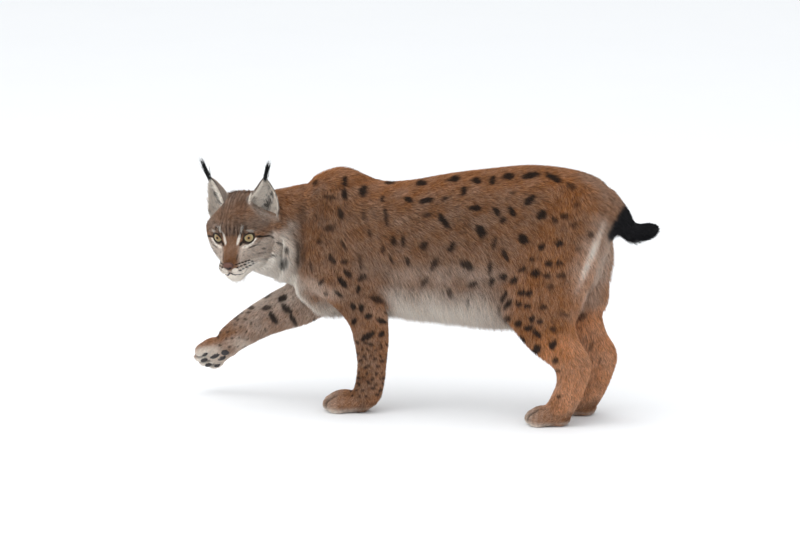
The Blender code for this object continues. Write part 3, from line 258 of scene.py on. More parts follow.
# Dark spots of the near side as the view shows them: U, V, half length, half width, tilt, strength.
NEAR_SPOTS = (
    (345.8, 182.5, 5.5, 3.0, 88, 1.0),
    (345.2, 194.5, 6.0, 2.6, 92, 1.0),
    (363.9, 191.8, 6.0, 4.0, 62, 1.0),
    (315.5, 183.3, 3.2, 2.2, 30, 0.8),
    (389.4, 183.3, 5.2, 1.9, 5, 0.9),
    (421.5, 183.9, 5.5, 2.9, 0, 1.0),
    (454.2, 179.7, 6.2, 3.0, 15, 1.0),
    (475.9, 182.0, 4.2, 3.4, 0, 1.0),
    (491.6, 181.4, 4.8, 3.0, 60, 1.0),
    (507.3, 177.5, 6.0, 3.3, 10, 1.0),
    (528.9, 176.8, 9.0, 3.0, 12, 1.0),
    (551.7, 179.4, 9.0, 3.0, -28, 1.0),
    (568.7, 187.9, 5.0, 3.0, -30, 0.7),
    (408.8, 200.3, 4.6, 2.6, -20, 1.0),
    (425.8, 201.5, 7.0, 2.7, 12, 1.0),
    (445.2, 199.1, 3.2, 1.8, 10, 0.9),
    (463.3, 192.4, 4.6, 2.8, 70, 1.0),
    (382.7, 199.7, 3.8, 1.7, 80, 0.9),
    (386.4, 217.9, 10.0, 1.9, 95, 0.9),
    (341.5, 214.8, 6.0, 2.8, 100, 0.9),
    (363.9, 214.8, 5.0, 1.6, 90, 0.8),
    (329.4, 228.8, 6.0, 3.0, 10, 0.7),
    (330.6, 197.9, 7.0, 2.0, -10, 0.7),
    (444.0, 222.0, 9.5, 3.0, -50, 1.0),
    (427.0, 216.0, 5.0, 2.0, 20, 0.7),
    (474.7, 209.0, 6.5, 2.8, 0, 1.0),
    (423.9, 245.8, 4.8, 3.5, 60, 0.9),
    (451.2, 247.5, 6.2, 2.7, 60, 1.0),
    (393.6, 241.5, 5.2, 2.4, 100, 0.9),
    (403.3, 242.1, 6.2, 2.1, 90, 0.9),
    (383.3, 249.4, 3.8, 1.9, 80, 0.8),
    (370.0, 233.6, 4.6, 2.0, 100, 0.8),
    (391.2, 259.1, 6.0, 1.6, -70, 0.8),
    (408.2, 261.5, 5.0, 2.1, 100, 0.9),
    (434.2, 263.9, 7.0, 2.8, 65, 0.9),
    (467.0, 265.6, 7.0, 4.2, -30, 0.9),
    (424.5, 281.5, 5.2, 2.6, 50, 0.8),
    (449.4, 293.0, 4.6, 2.8, 90, 0.8),
    (471.8, 284.5, 5.0, 3.0, 30, 0.85),
    (467.0, 302.7, 3.6, 1.6, 80, 0.5),
    (332.4, 259.7, 5.2, 3.0, -45, 0.9),
    (345.2, 262.0, 4.2, 2.3, 0, 0.9),
    (348.2, 273.6, 5.4, 2.7, -40, 0.9),
    (343.3, 282.7, 7.0, 2.8, -50, 1.0),
    (362.7, 277.3, 5.2, 3.0, 40, 0.9),
    (358.5, 289.4, 4.2, 2.2, 90, 1.0),
    (322.0, 282.0, 3.7, 2.2, 45, 0.9),
    (326.4, 293.6, 2.2, 1.9, 0, 0.7),
    (339.0, 293.6, 5.2, 1.7, -35, 1.0),
    (353.8, 306.0, 4.6, 2.7, -60, 1.0),
    (361.7, 308.0, 4.2, 2.8, 80, 1.0),
    (377.0, 299.5, 8.0, 3.0, -20, 0.8),
    (361.0, 263.0, 9.0, 1.6, 95, 0.6),
    (320.3, 242.0, 3.2, 2.1, 0, 0.7),
    (344.5, 245.8, 6.2, 1.7, -60, 0.7),
    (311.8, 266.4, 5.2, 1.3, -80, 0.6),
    (299.0, 256.0, 12.0, 1.7, 90, 0.8),
    (527.6, 201.6, 6.2, 3.4, 45, 1.0),
    (511.2, 193.8, 4.0, 1.6, 0, 0.5),
    (495.5, 212.8, 4.8, 2.8, -60, 1.0),
    (510.6, 212.8, 5.6, 2.7, -55, 1.0),
    (501.4, 221.2, 3.8, 2.3, 40, 1.0),
    (539.3, 216.0, 5.6, 4.5, 30, 1.0),
    (480.0, 232.0, 6.8, 4.6, -60, 1.0),
    (521.0, 239.6, 5.8, 4.6, -40, 1.0),
    (492.9, 243.5, 7.2, 1.9, 70, 0.9),
    (503.4, 255.2, 6.7, 2.3, -65, 0.9),
    (539.3, 247.4, 4.2, 3.0, 60, 1.0),
    (557.0, 244.1, 4.2, 3.3, 0, 1.0),
    (552.4, 221.2, 3.4, 2.8, 0, 0.8),
    (561.5, 217.3, 3.6, 2.8, 0, 0.8),
    (573.3, 206.2, 3.4, 2.2, 0, 0.6),
    (587.0, 235.6, 3.6, 3.0, 0, 0.8),
    (571.0, 226.0, 3.4, 2.4, 30, 0.6),
    (575.0, 249.0, 3.2, 2.2, 20, 0.6),
    (530.2, 259.2, 2.8, 2.2, 0, 0.9),
    (546.5, 263.7, 3.6, 3.3, 0, 1.0),
    (557.0, 263.7, 3.2, 2.7, 0, 0.9),
    (489.0, 267.7, 6.6, 2.1, 85, 0.9),
    (520.4, 269.6, 4.2, 2.1, 35, 1.0),
    (533.4, 273.5, 5.2, 3.6, 0, 1.0),
    (545.2, 275.5, 3.6, 2.7, 0, 0.9),
    (558.3, 275.5, 5.2, 2.7, 5, 0.8),
    (501.4, 276.8, 4.2, 3.5, 0, 1.0),
    (511.9, 280.7, 4.4, 3.2, 40, 1.0),
    (490.3, 282.0, 4.8, 2.8, 60, 1.0),
    (502.7, 296.4, 5.7, 2.7, 65, 1.0),
    (519.7, 292.5, 4.3, 3.0, 20, 1.0),
    (526.9, 293.2, 3.8, 3.0, 30, 1.0),
    (548.5, 286.6, 4.2, 2.3, 0, 0.7),
    (506.6, 303.6, 5.7, 2.7, 55, 1.0),
    (517.1, 303.6, 3.3, 2.7, 0, 1.0),
    (525.6, 305.6, 3.6, 2.8, 0, 1.0),
    (541.3, 306.9, 3.8, 2.9, 0, 0.8),
    (498.1, 310.8, 3.2, 1.6, 80, 0.8),
    (506.6, 318.0, 3.8, 2.9, 0, 1.0),
    (516.6, 323.0, 4.2, 3.0, 20, 1.0),
    (530.6, 318.0, 3.8, 2.9, 60, 1.0),
    (537.4, 321.0, 3.6, 2.6, 0, 0.9),
    (526.8, 327.5, 4.8, 2.8, 10, 1.0),
    (535.0, 333.0, 5.2, 2.8, -35, 1.0),
    (520.8, 339.4, 4.2, 2.7, -60, 1.0),
    (513.3, 334.8, 3.8, 1.4, -50, 0.9),
    (550.6, 328.5, 3.7, 2.5, 0, 0.8),
    (534.5, 349.0, 5.7, 4.0, 50, 1.0),
    (551.2, 343.4, 4.8, 3.6, 60, 1.0),
    (553.5, 359.5, 3.3, 2.6, 30, 0.9),
    (555.2, 369.8, 3.6, 1.7, 0, 0.7),
    (557.5, 395.6, 2.4, 1.6, 0, 0.8),
    (561.5, 314.0, 5.2, 2.0, -10, 0.5),
    (368.1, 316.2, 3.8, 2.7, 0, 1.0),
    (354.6, 321.0, 3.7, 2.5, 60, 1.0),
    (381.7, 321.0, 5.0, 2.5, -20, 1.0),
    (387.3, 313.0, 3.3, 1.6, -20, 0.8),
    (368.0, 336.0, 8.0, 3.0, 30, 1.0),
    (381.7, 333.8, 3.7, 2.7, 60, 1.0),
    (390.5, 333.8, 2.7, 1.9, 0, 0.9),
)
# The same for the inner sides of the far legs.
FAR_SPOTS = (
    (282.0, 298.7, 5.2, 3.1, 20, 1.0),
    (286.5, 309.5, 6.5, 3.3, -50, 1.0),
    (292.5, 320.0, 7.5, 2.6, -62, 1.0),
    (272.5, 318.6, 7.5, 3.0, -60, 1.0),
    (265.3, 308.3, 5.2, 2.5, 10, 0.9),
    (250.0, 308.3, 3.2, 1.9, 20, 0.8),
    (266.9, 296.3, 4.2, 1.7, 30, 0.8),
    (264.5, 330.6, 2.4, 1.2, -60, 0.8),
    (313.0, 322.6, 4.2, 1.4, 85, 0.9),
    (303.0, 303.0, 3.4, 1.8, -60, 0.7),
    (235.0, 317.8, 3.2, 1.4, 45, 0.7),
    (216.7, 333.8, 2.4, 1.4, 30, 0.7),
    (579.0, 317.0, 8.0, 3.5, 35, 0.8),
    (590.0, 346.0, 6.0, 1.8, 70, 0.6),
    (599.0, 361.0, 4.0, 1.4, 70, 0.5),
)
# Small spots strewn over a stretch of leg: U from, U to, V from, V to, spacing, half length, half width.
STREWN_SPOTS = (
    (350.0, 394.0, 343.0, 396.0, 7.2, 2.3, 1.3),
    (214.0, 250.0, 312.0, 352.0, 8.5, 2.0, 1.1),
)
STREWN_STRENGTH = 0.80
# A power under 1 that keeps the weaker spots dark.
SPOT_SOFTNESS = 0.7
SPOT_SEED = 4
# The rump's stripe is read as it stands, not mirrored, aft of this x and to the left of this y.
RUMP_FROM = 0.28
RUMP_UP_TO = 0.07

# Strokes on the near half of the face, in the view's pixels: U, V, half length, half width, tilt, strength.
FACE_DARK = (
    (261.0, 236.6, 5.8, 1.06, 1, 1.0),
    (267.5, 236.2, 4.2, 1.0, 6, 1.0),
    (273.3, 237.3, 3.0, 0.94, -33, 0.9),
    (255.0, 246.2, 5.0, 0.75, 22, 0.8),
    (260.2, 242.3, 2.4, 0.69, 45, 0.7),
    (242.3, 243.8, 2.6, 1.38, 60, 1.0),
    (247.5, 227.8, 2.8, 1.5, 80, 0.95),
    (238.5, 257.5, 4.0, 0.75, 75, 0.7),
    (262.0, 253.0, 5.5, 0.75, 12, 0.55),
    (265.0, 248.7, 2.2, 1.0, 0, 0.7),
    (274.2, 256.2, 3.4, 0.88, 2, 0.85),
    (268.0, 258.7, 6.0, 0.62, 12, 0.6),
    (281.0, 244.0, 3.0, 1.38, -20, 0.8),
    (287.5, 251.0, 3.6, 2.38, 100, 1.0),
    (285.0, 264.5, 6.2, 4.0, 75, 1.0),
    (257.0, 228.5, 3.4, 0.88, -18, 0.7),
    (265.0, 231.0, 4.0, 0.88, -16, 0.6),
    (272.0, 232.5, 3.0, 0.88, -24, 0.6),
    (277.0, 228.0, 2.6, 0.88, -30, 0.5),
)
FACE_PALE = (
    (246.8, 246.7, 3.6, 1.38, 15, 1.0),
    (252.8, 243.9, 3.6, 1.38, 38, 1.0),
    (256.8, 239.9, 2.4, 1.12, 54, 1.0),
    (240.1, 239.3, 6.0, 1.38, 74, 0.95),
    (243.1, 229.9, 4.2, 1.25, 71, 0.9),
    (251.8, 231.2, 3.6, 1.38, -8, 0.6),
    (262.0, 257.4, 8.0, 1.12, 23, 0.8),
    (274.5, 254.4, 6.0, 1.12, 0, 0.7),
    (267.0, 271.5, 14.0, 12.5, -12, 1.0),
    (240.0, 278.0, 10.0, 5.62, 5, 1.0),
    (236.5, 270.3, 3.2, 2.0, 15, 1.0),
    (294.0, 255.0, 3.5, 15.0, 5, 0.9),
    (281.0, 255.0, 3.5, 5.0, 0, 0.6),
    (288.0, 273.0, 7.0, 5.0, 50, 0.8),
)
# Rows of dark whisker spots: U and V of the first and of the last.
WHISKER_ROWS = (
    ((237.9, 264.5), (250.0, 260.3)),
    ((239.2, 267.4), (253.3, 261.6)),
    ((241.7, 270.3), (254.2, 263.7)),
)
# Pale washes on the near side of the body, and darker washes of painted shade where the neck meets the
# shoulder, in the same terms.
BODY_PALE = (
    (588.0, 256.0, 38.0, 4.4, 68, 0.90),
    (586.0, 256.0, 46.0, 15.0, 68, 0.20),
    (601.0, 264.0, 42.0, 10.0, 76, 0.34),
    (316.0, 288.0, 26.0, 9.0, -25, 0.40),
    (582.0, 302.0, 13.0, 3.4, 75, 0.35),
    (450.0, 276.0, 66.0, 11.0, 0, 0.14),
)
# Painted shade over the side of the neck and the shoulder.
BODY_PAINTED_SHADE = (
    (302.0, 224.0, 26.0, 7.0, 84, 0.42),
    (303.0, 254.0, 16.0, 4.5, 86, 0.55),
    (320.0, 215.0, 22.0, 9.0, 60, 0.25),
)
WHISKER_SPOTS = 5

# Coat at even steps from the start to the end of each part, in millimetres: length, how deep the skin lies
# in the solid, how far the tips stand off the skin, width, spacing.
COAT = {
    "torso": ((25, 25, 23), (7, 7, 7), (7, 7, 7), (1.7, 1.7, 1.7), (2.3, 2.35, 2.3)),
    "neck": ((27, 27, 22), (8, 8, 6), (8, 8, 6), (1.6, 1.6, 1.4), (2.1, 2.1, 1.8)),
    "tail": ((22, 18, 14), (7, 6, 4), (7, 6, 4), (1.7, 1.6, 1.5), (2.1, 2.0, 1.8)),
    "hind": ((23, 17, 9), (7, 5.5, 3.4), (7, 5.5, 3.4), (1.7, 1.5, 1.3), (2.3, 2.15, 1.9)),
    "fore": ((23, 13, 9), (7, 5, 3.4), (7, 5, 3.4), (1.7, 1.4, 1.2), (2.2, 2.0, 1.8)),
    "lifted": ((23, 16, 9), (7, 5.5, 3.4), (7, 5.5, 3.4), (1.7, 1.4, 1.2), (2.2, 2.1, 1.8)),
    "paw": ((8, 7, 5), (2.8, 2.4, 1.8), (2.8, 2.4, 1.8), (1.2, 1.1, 1.0), (1.8, 1.7, 1.5)),
    "head": (
        (22, 16, 8.5, 5.5, 3.4, 2.6), (6.5, 4.5, 2.6, 1.8, 1.2, 0.9), (6.5, 4.5, 2.6, 1.8, 1.2, 0.9),
        (1.6, 1.3, 0.95, 0.8, 0.65, 0.55), (1.9, 1.6, 1.15, 1.0, 0.85, 0.8),
    ),
    "ruff": ((24, 28, 26), (1.5, 1.5, 1.5), (8, 10, 10), (1.3, 1.3, 1.3), (1.7, 1.7, 1.7)),
}
BELLY = {"length": 40.0, "sink": 3.0, "reach": 20.0, "width": 1.9}
COAT_SEED = 21
MOST_TUFTS = 33000
UV_PATCH = 0.003
UV_MARGIN = 0.01

BODY_VOXEL = 0.005
HEAD_VOXEL = 0.0020

CURVE_STEPS = 4
RING_AROUND = 40


def smooth(low, high, value):
    """0 at low, 1 at high, with an even start and end between them."""
    t = np.clip((value - low) / (high - low), 0.0, 1.0)
    return t * t * (3 - 2 * t)


def unit(rows):
    return rows / np.maximum(np.linalg.norm(rows, axis=-1, keepdims=True), 1e-12)


def ripple(points, wavelength, seed):
    """A smooth field between about -1 and 1: the mean of eight sine waves of about that wavelength, each
    with its own seeded direction and phase."""
    chance = np.random.default_rng(seed)
    ways = unit(chance.normal(size=(8, 3)))
    turns = 2 * math.pi / (wavelength * chance.uniform(0.65, 1.5, 8))
    phase = chance.uniform(0, 2 * math.pi, 8)
    return np.sin(points @ (ways * turns[:, None]).T + phase).mean(1) * 1.7


def smooth_rows(rows, steps):
    """The rows of numbers, with a Catmull-Rom curve through them read at steps places for each span."""
    rows = np.array(rows, float)
    p = np.vstack([2 * rows[0] - rows[1], rows, 2 * rows[-1] - rows[-2]])
    t = (np.arange(steps) / steps)[:, None]
    a, b, c, d = (p[i : len(p) - 3 + i, None, :] for i in range(4))
    spans = 0.5 * (2 * b + (c - a) * t + (2 * a - 5 * b + 4 * c - d) * t**2 + (3 * b - a - 3 * c + d) * t**3)
    return np.vstack([spans.reshape(-1, rows.shape[1]), rows[-1:]])


def path_frames(centres, reference):
    """Side and up rows square to a path: up is the reference made square to the way along."""
    way = unit(np.gradient(centres, axis=0))
    up = unit(reference - way * (way @ reference)[:, None])
    return np.cross(way, up), up


def put_mesh(name, points, *face_sets):
    """A mesh object from an array of points and arrays of faces, each array with faces of one size."""
    mesh = bpy.data.meshes.new(name)
    mesh.vertices.add(len(points))
    mesh.vertices.foreach_set("co", np.asarray(points, np.float32).ravel())
    corners = np.concatenate([f.ravel() for f in face_sets]).astype(np.int32)
    sizes = np.concatenate([np.full(len(f), f.shape[1], np.int32) for f in face_sets])
    mesh.loops.add(len(corners))
    mesh.loops.foreach_set("vertex_index", corners)
    mesh.polygons.add(len(sizes))
    mesh.polygons.foreach_set("loop_start", np.concatenate([[0], np.cumsum(sizes)[:-1]]).astype(np.int32))
    mesh.update(calc_edges=True)
    made = bpy.data.objects.new(name, mesh)
    bpy.context.scene.collection.objects.link(made)
    return made


def face_out(obj):
    shape = bmesh.new()
    shape.from_mesh(obj.data)
    bmesh.ops.recalc_face_normals(shape, faces=shape.faces)
    shape.to_mesh(obj.data)
    shape.free()


def grid_faces(rows, columns, wrap_rows=False):
    """Quads between neighbouring rings of points, each ring closed on itself, and the last ring joined to
    the first where wrap_rows is set."""
    r, k = np.meshgrid(np.arange(rows if wrap_rows else rows - 1), np.arange(columns), indexing="ij")
    r, k = r.ravel(), k.ravel()
    n, q = (k + 1) % columns, (r + 1) % rows
    return np.column_stack([r * columns + k, r * columns + n, q * columns + n, q * columns + k])


def tube(name, rings):
    """A closed tube through rings of points, an array of ring, point and coordinate, with a point in the
    middle of each end."""
    rows, columns = rings.shape[:2]
    points = np.vstack([rings.reshape(-1, 3), rings[0].mean(0), rings[-1].mean(0)])
    k = np.arange(columns)
    n = (k + 1) % columns
    first, last = rows * columns, (rows - 1) * columns
    ends = np.vstack([
        np.column_stack([np.full(columns, first), n, k]),
        np.column_stack([np.full(columns, first + 1), last + k, last + n]),
    ])
    made = put_mesh(name, points, grid_faces(rows, columns), ends)
    face_out(made)
    return made


def loft(name, path, round_ends=0.5, fullness=1.0):
    """A closed tube along a path: ellipse halves of its half width, half depth up and half depth down,
    with a round cap at both ends. A fullness under 1 squares the ellipses off."""
    turn = np.linspace(0, 2 * math.pi, RING_AROUND, endpoint=False)
    cos, sin = (np.sign(w) * np.abs(w) ** fullness for w in (np.cos(turn), np.sin(turn)))
    centres, wide = path["centres"], path["wide"]
    depth = np.where(sin > 0, path["high"][:, None], path["low"][:, None])
    spokes = (cos * wide[:, None])[..., None] * path["side"][:, None, :]
    spokes = spokes + (sin * depth)[..., None] * path["up"][:, None, :]
    rings = centres[:, None, :] + spokes
    caps = []
    for end, before in ((0, 1), (-1, -2)):
        away = unit(centres[end] - centres[before]) * wide[end] * round_ends
        bend = np.radians([25.0, 50.0, 72.0, 88.0])
        caps.append(
            centres[end] + np.cos(bend)[:, None, None] * spokes[end] + np.sin(bend)[:, None, None] * away
        )
    return tube(name, np.concatenate([caps[0][::-1], rings, caps[1]]))


def make_path(centres, side, up, wide, high, low):
    rows = len(centres)
    spread = [np.broadcast_to(axis, (rows, 3)) for axis in (side, up)]
    return {"centres": centres, "side": spread[0], "up": spread[1], "wide": wide, "high": high, "low": low}


def torso_path():
    r = smooth_rows(TORSO, CURVE_STEPS)
    middle = (r[:, 1] + r[:, 2]) / 2 + 0.01
    centres = np.column_stack([r[:, 0], np.zeros(len(r)), middle])
    return make_path(centres, (0, 1, 0), (0, 0, 1), r[:, 3], r[:, 1] - middle, middle - r[:, 2])


def neck_path():
    r = smooth_rows(NECK, CURVE_STEPS)
    return make_path(r[:, :3], *path_frames(r[:, :3], np.array([0, 0, 1.0])), r[:, 3], r[:, 4], r[:, 5])


def tail_path():
    r = smooth_rows(TAIL, CURVE_STEPS)
    centres = np.column_stack([r[:, 0], np.zeros(len(r)), r[:, 1]])
    up, side = path_frames(centres, np.array([0, 1.0, 0]))
    return make_path(centres, side, up, r[:, 2], r[:, 3], r[:, 3])


def level_leg_path(rows):
    """A leg from level slices, each z, x, half length, y, half width."""
    r = smooth_rows(rows, CURVE_STEPS)
    centres = np.column_stack([r[:, 1], r[:, 3], r[:, 0]])
    return make_path(centres, (0, 1, 0), (1, 0, 0), r[:, 4], r[:, 2], r[:, 2])


def hind_left_path():
    return level_leg_path([(z, x, h, -y, w) for z, x, h, y, w in HIND])


def hind_right_reach(z):
    return HIND_RIGHT_REACH * np.clip((HIND_RIGHT_HIP - z) / HIND_RIGHT_SWING, 0, 1)


def hind_right_path():
    add, height, spread = HIND_RIGHT_FLUFF
    rows = []
    for z, x, half, y, wide in HIND:
        reach = hind_right_reach(z)
        fluff = add * math.exp(-(((z - height) / spread) ** 2))
        rows.append((z, x + reach + fluff, half + fluff, y, wide))
    return level_leg_path(rows)


def lifted_path():
    r = smooth_rows(FORE_RIGHT, CURVE_STEPS)
    up, side = path_frames(r[:, :3], np.array([0, 1.0, 0]))
    return make_path(r[:, :3], side, up, r[:, 3], r[:, 4], r[:, 4])


def paw_turn(heading, pitch, roll):
    """The matrix that carries a paw drawn along +X to its heading, with the toes pitched down and the sole
    rolled to the left."""
    level = Matrix.Rotation(math.radians(180 + heading), 3, "Z")
    tip = level @ Matrix.Rotation(math.radians(pitch), 3, "Y")
    return np.array(tip @ Matrix.Rotation(math.radians(roll), 3, "X"))


def paw_place(name):
    sole, heading, pitch, roll, size = PAWS[name]
    lift = np.array(sole) - (0, 0, PAW_SINK if pitch == 0 else 0)
    return lift, paw_turn(heading, pitch, roll), size


def paw_path(name):
    """A straight path through the paw, from the heel to the toes."""
    lift, turn, size = paw_place(name)
    x = np.linspace(-0.044, 0.064, 9)
    centres = lift + np.column_stack([x, 0 * x, 0 * x + 0.022]) @ turn.T * size
    wide = np.full(9, 0.038) * size
    return make_path(centres, turn[:, 1], turn[:, 2], wide, wide * 0.75, wide * 0.6)


def head_axes():
    """Columns: forward, left and up of the head."""
    yaw, pitch, roll = (math.radians(a) for a in (HEAD_YAW, HEAD_PITCH, HEAD_ROLL))
    level = np.array([-math.sin(yaw), -math.cos(yaw), 0.0])
    forward = level * math.cos(pitch) - np.array([0, 0, math.sin(pitch)])
    left = np.array([math.cos(yaw), -math.sin(yaw), 0.0])
    left = left * math.cos(roll) + np.cross(forward, left) * math.sin(roll)
    return np.column_stack([forward, left, np.cross(forward, left)])


HEAD_AXES = head_axes()


def in_head(places):
    """Points given in the head's millimetres: forward, left, up."""
    return HEAD_AT + np.asarray(places, float) @ HEAD_AXES.T * MM


def from_head(points):
    return (points - HEAD_AT) @ HEAD_AXES / MM


def skull_path(slices):
    r = smooth_rows(slices, CURVE_STEPS)
    centres = in_head(np.column_stack([r[:, 0], 0 * r[:, 0], r[:, 1]]))
    return make_path(centres, HEAD_AXES[:, 1], HEAD_AXES[:, 2], *(r[:, 2:].T * MM))


def ruff_path(side):
    r = smooth_rows(RUFF, CURVE_STEPS)
    out = np.sin(np.linspace(0.1, math.pi, len(r)))[:, None] * np.array([*RUFF_OUT[side], 0.0])
    centres = in_head((r[:, :3] + out) * (1, side, 1))
    across, ahead = path_frames(centres, HEAD_AXES[:, 0])
    return make_path(centres, across, ahead, r[:, 4] * MM, r[:, 3] * MM, r[:, 3] * MM)


# Every part of the body: its path and its row in COAT.
PARTS = {
    "torso": (torso_path(), "torso"),
    "neck": (neck_path(), "neck"),
    "tail": (tail_path(), "tail"),
    "hind_left": (hind_left_path(), "hind"),
    "hind_right": (hind_right_path(), "hind"),
    "fore_left": (level_leg_path(FORE_LEFT), "fore"),
    "fore_right": (lifted_path(), "lifted"),
    **{name: (paw_path(name), "paw") for name in PAWS},
    "head": (skull_path(HEAD_SLICES), "head"),
    "ruff_left": (ruff_path(1), "ruff"),
    "ruff_right": (ruff_path(-1), "ruff"),
}
NAMES = list(PARTS)
REGION_SHARPNESS = 9.0


def where_on(points, path):
    """For each point: its share along the path, its place across and up as shares of the section there,
    and how many radii it lies from the path's line."""
    centres = path["centres"]
    nearest = np.concatenate([
        ((chunk[:, None, :] - centres) ** 2).sum(-1).argmin(1) for chunk in np.array_split(points, 24)
    ])
    away = points - centres[nearest]
    across = (away * path["side"][nearest]).sum(1) / path["wide"][nearest]
    rise = (away * path["up"][nearest]).sum(1)
    above = rise / np.where(rise > 0, path["high"][nearest], path["low"][nearest])
    way = np.gradient(centres, axis=0)
    step = np.linalg.norm(way, axis=1)
    beyond = np.abs((away * unit(way)[nearest]).sum(1)) - step[nearest] * 0.6
    radii = np.sqrt(across**2 + above**2 + (np.maximum(beyond, 0) / path["wide"][nearest]) ** 2)
    return nearest / (len(centres) - 1), across, above, radii


def survey(points):
    """Everything that depends on where a point is on the body: for each part, its place on that part and
    its share, which falls with the ninth power of the distance in radii. The shares add up to 1."""
    places = {name: where_on(points, path) for name, (path, _) in PARTS.items()}
    shares = np.column_stack([np.maximum(p[3], 0.5) ** -REGION_SHARPNESS for p in places.values()])
    return places, shares / shares.sum(1, keepdims=True)


def belly_share(places):
    """1 under the belly and the chest, 0 on the flanks and the back."""
    return smooth(-0.42, -0.88, places["torso"][2])


def coat_sizes(places, shares):
    """Length, sink, reach, width and spacing in millimetres, mixed from the parts by their shares."""
    sizes = np.zeros((5, len(shares)))
    for column, (name, (_, row)) in enumerate(PARTS.items()):
        along = places[name][0]
        for i, values in enumerate(COAT[row]):
            sizes[i] += shares[:, column] * np.interp(along, np.linspace(0, 1, len(values)), values)
    under = belly_share(places) * shares[:, NAMES.index("torso")]
    for i, key in enumerate(("length", "sink", "reach", "width")):
        sizes[i] += under * (BELLY[key] - sizes[i])
    return sizes


def coat_lie(points, places, shares):
    """The way the hair lies: backwards and down over the body, down the legs, along the tail and the toes,
    away from the nose over the head, and down and out along the ruff."""
    low = np.clip(0.5 - places["torso"][2] * 0.75, 0, 1)[:, None]
    local = from_head(points)
    out = np.column_stack([0 * local[:, 0], local[:, 1], local[:, 2] + 30.0])
    out = unit(out) * 0.9 + np.array([-0.55, 0, 0])
    out[:, 2] -= 0.35 * smooth(10, -60, local[:, 2])
    ways = {
        "torso": np.array([1, 0, -0.10]) + low * np.array([-0.55, 0, -0.85]),
        "neck": np.tile([0.80, 0.0, -0.62], (len(points), 1)),
        "hind": np.tile([0.34, 0, -1.0], (len(points), 1)),
        "fore": np.tile([0.38, 0, -1.0], (len(points), 1)),
        "head": out @ HEAD_AXES.T,
    }
    down = np.array([0, 0, -1.0])
    lie = np.zeros_like(points)
    for column, (name, (path, row)) in enumerate(PARTS.items()):
        way = ways.get(row)
        if way is None:
            along = unit(np.gradient(path["centres"], axis=0))
            way = along[np.round(places[name][0] * (len(along) - 1)).astype(int)]
            if row == "lifted":
                way = way + 0.55 * down
            if row == "ruff":
                side = 1 if name == "ruff_left" else -1
                way = way + side * 0.85 * HEAD_AXES[:, 1] - 0.20 * HEAD_AXES[:, 0]
        lie += shares[:, column, None] * unit(way)
    return unit(lie)


def view_pixels(points):
    """U and V of points in the view: metres to the right and up in the picture's plane, as pixels."""
    a, e = math.radians(VIEW_AZIMUTH), math.radians(VIEW_ELEVATION)
    right = points @ np.array([math.cos(a), math.sin(a), 0])
    rise = points @ np.array([-math.sin(a) * math.sin(e), math.cos(a) * math.sin(e), math.cos(e)])
    return PIXEL_ORIGIN[0] + right / PIXEL, PIXEL_ORIGIN[1] - rise / PIXEL


def marked(u, v, rows, wobble):
    """How strongly each point is marked: the most, over the rows, of the row's strength times a fall from
    1 inside its ellipse to 0 outside, with the ellipse's edge moved by wobble."""
    mark = np.zeros(len(u))
    for cu, cv, long, wide, tilt, strength in rows:
        near = np.nonzero((np.abs(u - cu) < 1.5 * long + 1.5) & (np.abs(v - cv) < 1.5 * long + 1.5))[0]
        right, rise = u[near] - cu, cv - v[near]
        c, s = math.cos(math.radians(tilt)), math.sin(math.radians(tilt))
        edge = np.hypot((right * c + rise * s) / long, (rise * c - right * s) / wide) + wobble[near]
        mark[near] = np.maximum(mark[near], strength * smooth(1.28, 0.78, edge))
    return mark


def washed(u, v, rows):
    """The same with wide soft edges."""
    wash = np.zeros(len(u))
    for cu, cv, long, wide, tilt, strength in rows:
        c, s = math.cos(math.radians(tilt)), math.sin(math.radians(tilt))
        right, rise = u - cu, cv - v
        edge = np.hypot((right * c + rise * s) / long, (rise * c - right * s) / wide)
        wash = np.maximum(wash, strength * smooth(1.35, 0.35, edge))
    return wash


def near_pixels(points):
    """View pixels of the points, with those of the far side mirrored to the near one, but not the rump's."""
    mirrored = points.copy()
    rump = (points[:, 0] > RUMP_FROM) & (points[:, 1] < RUMP_UP_TO)
    mirrored[:, 1] = np.where(rump, points[:, 1], -np.abs(points[:, 1]))
    return view_pixels(mirrored)


def strewn_spots():
    """Small spots on a jittered lattice over each stretch."""
    chance = np.random.default_rng(SPOT_SEED)
    rows = []
    for u0, u1, v0, v1, gap, long, wide in STREWN_SPOTS:
        for i, v in enumerate(np.arange(v0, v1, gap * 0.8)):
            for u in np.arange(u0 + (i % 2) * gap / 2, u1, gap):
                du, dv, grow, tilt = chance.uniform((-2.2, -2.0, 0.6, -70), (2.2, 2.0, 1.15, 70))
                rows.append((u + du, v + dv, long * grow, wide * grow, tilt, STREWN_STRENGTH))
    return rows


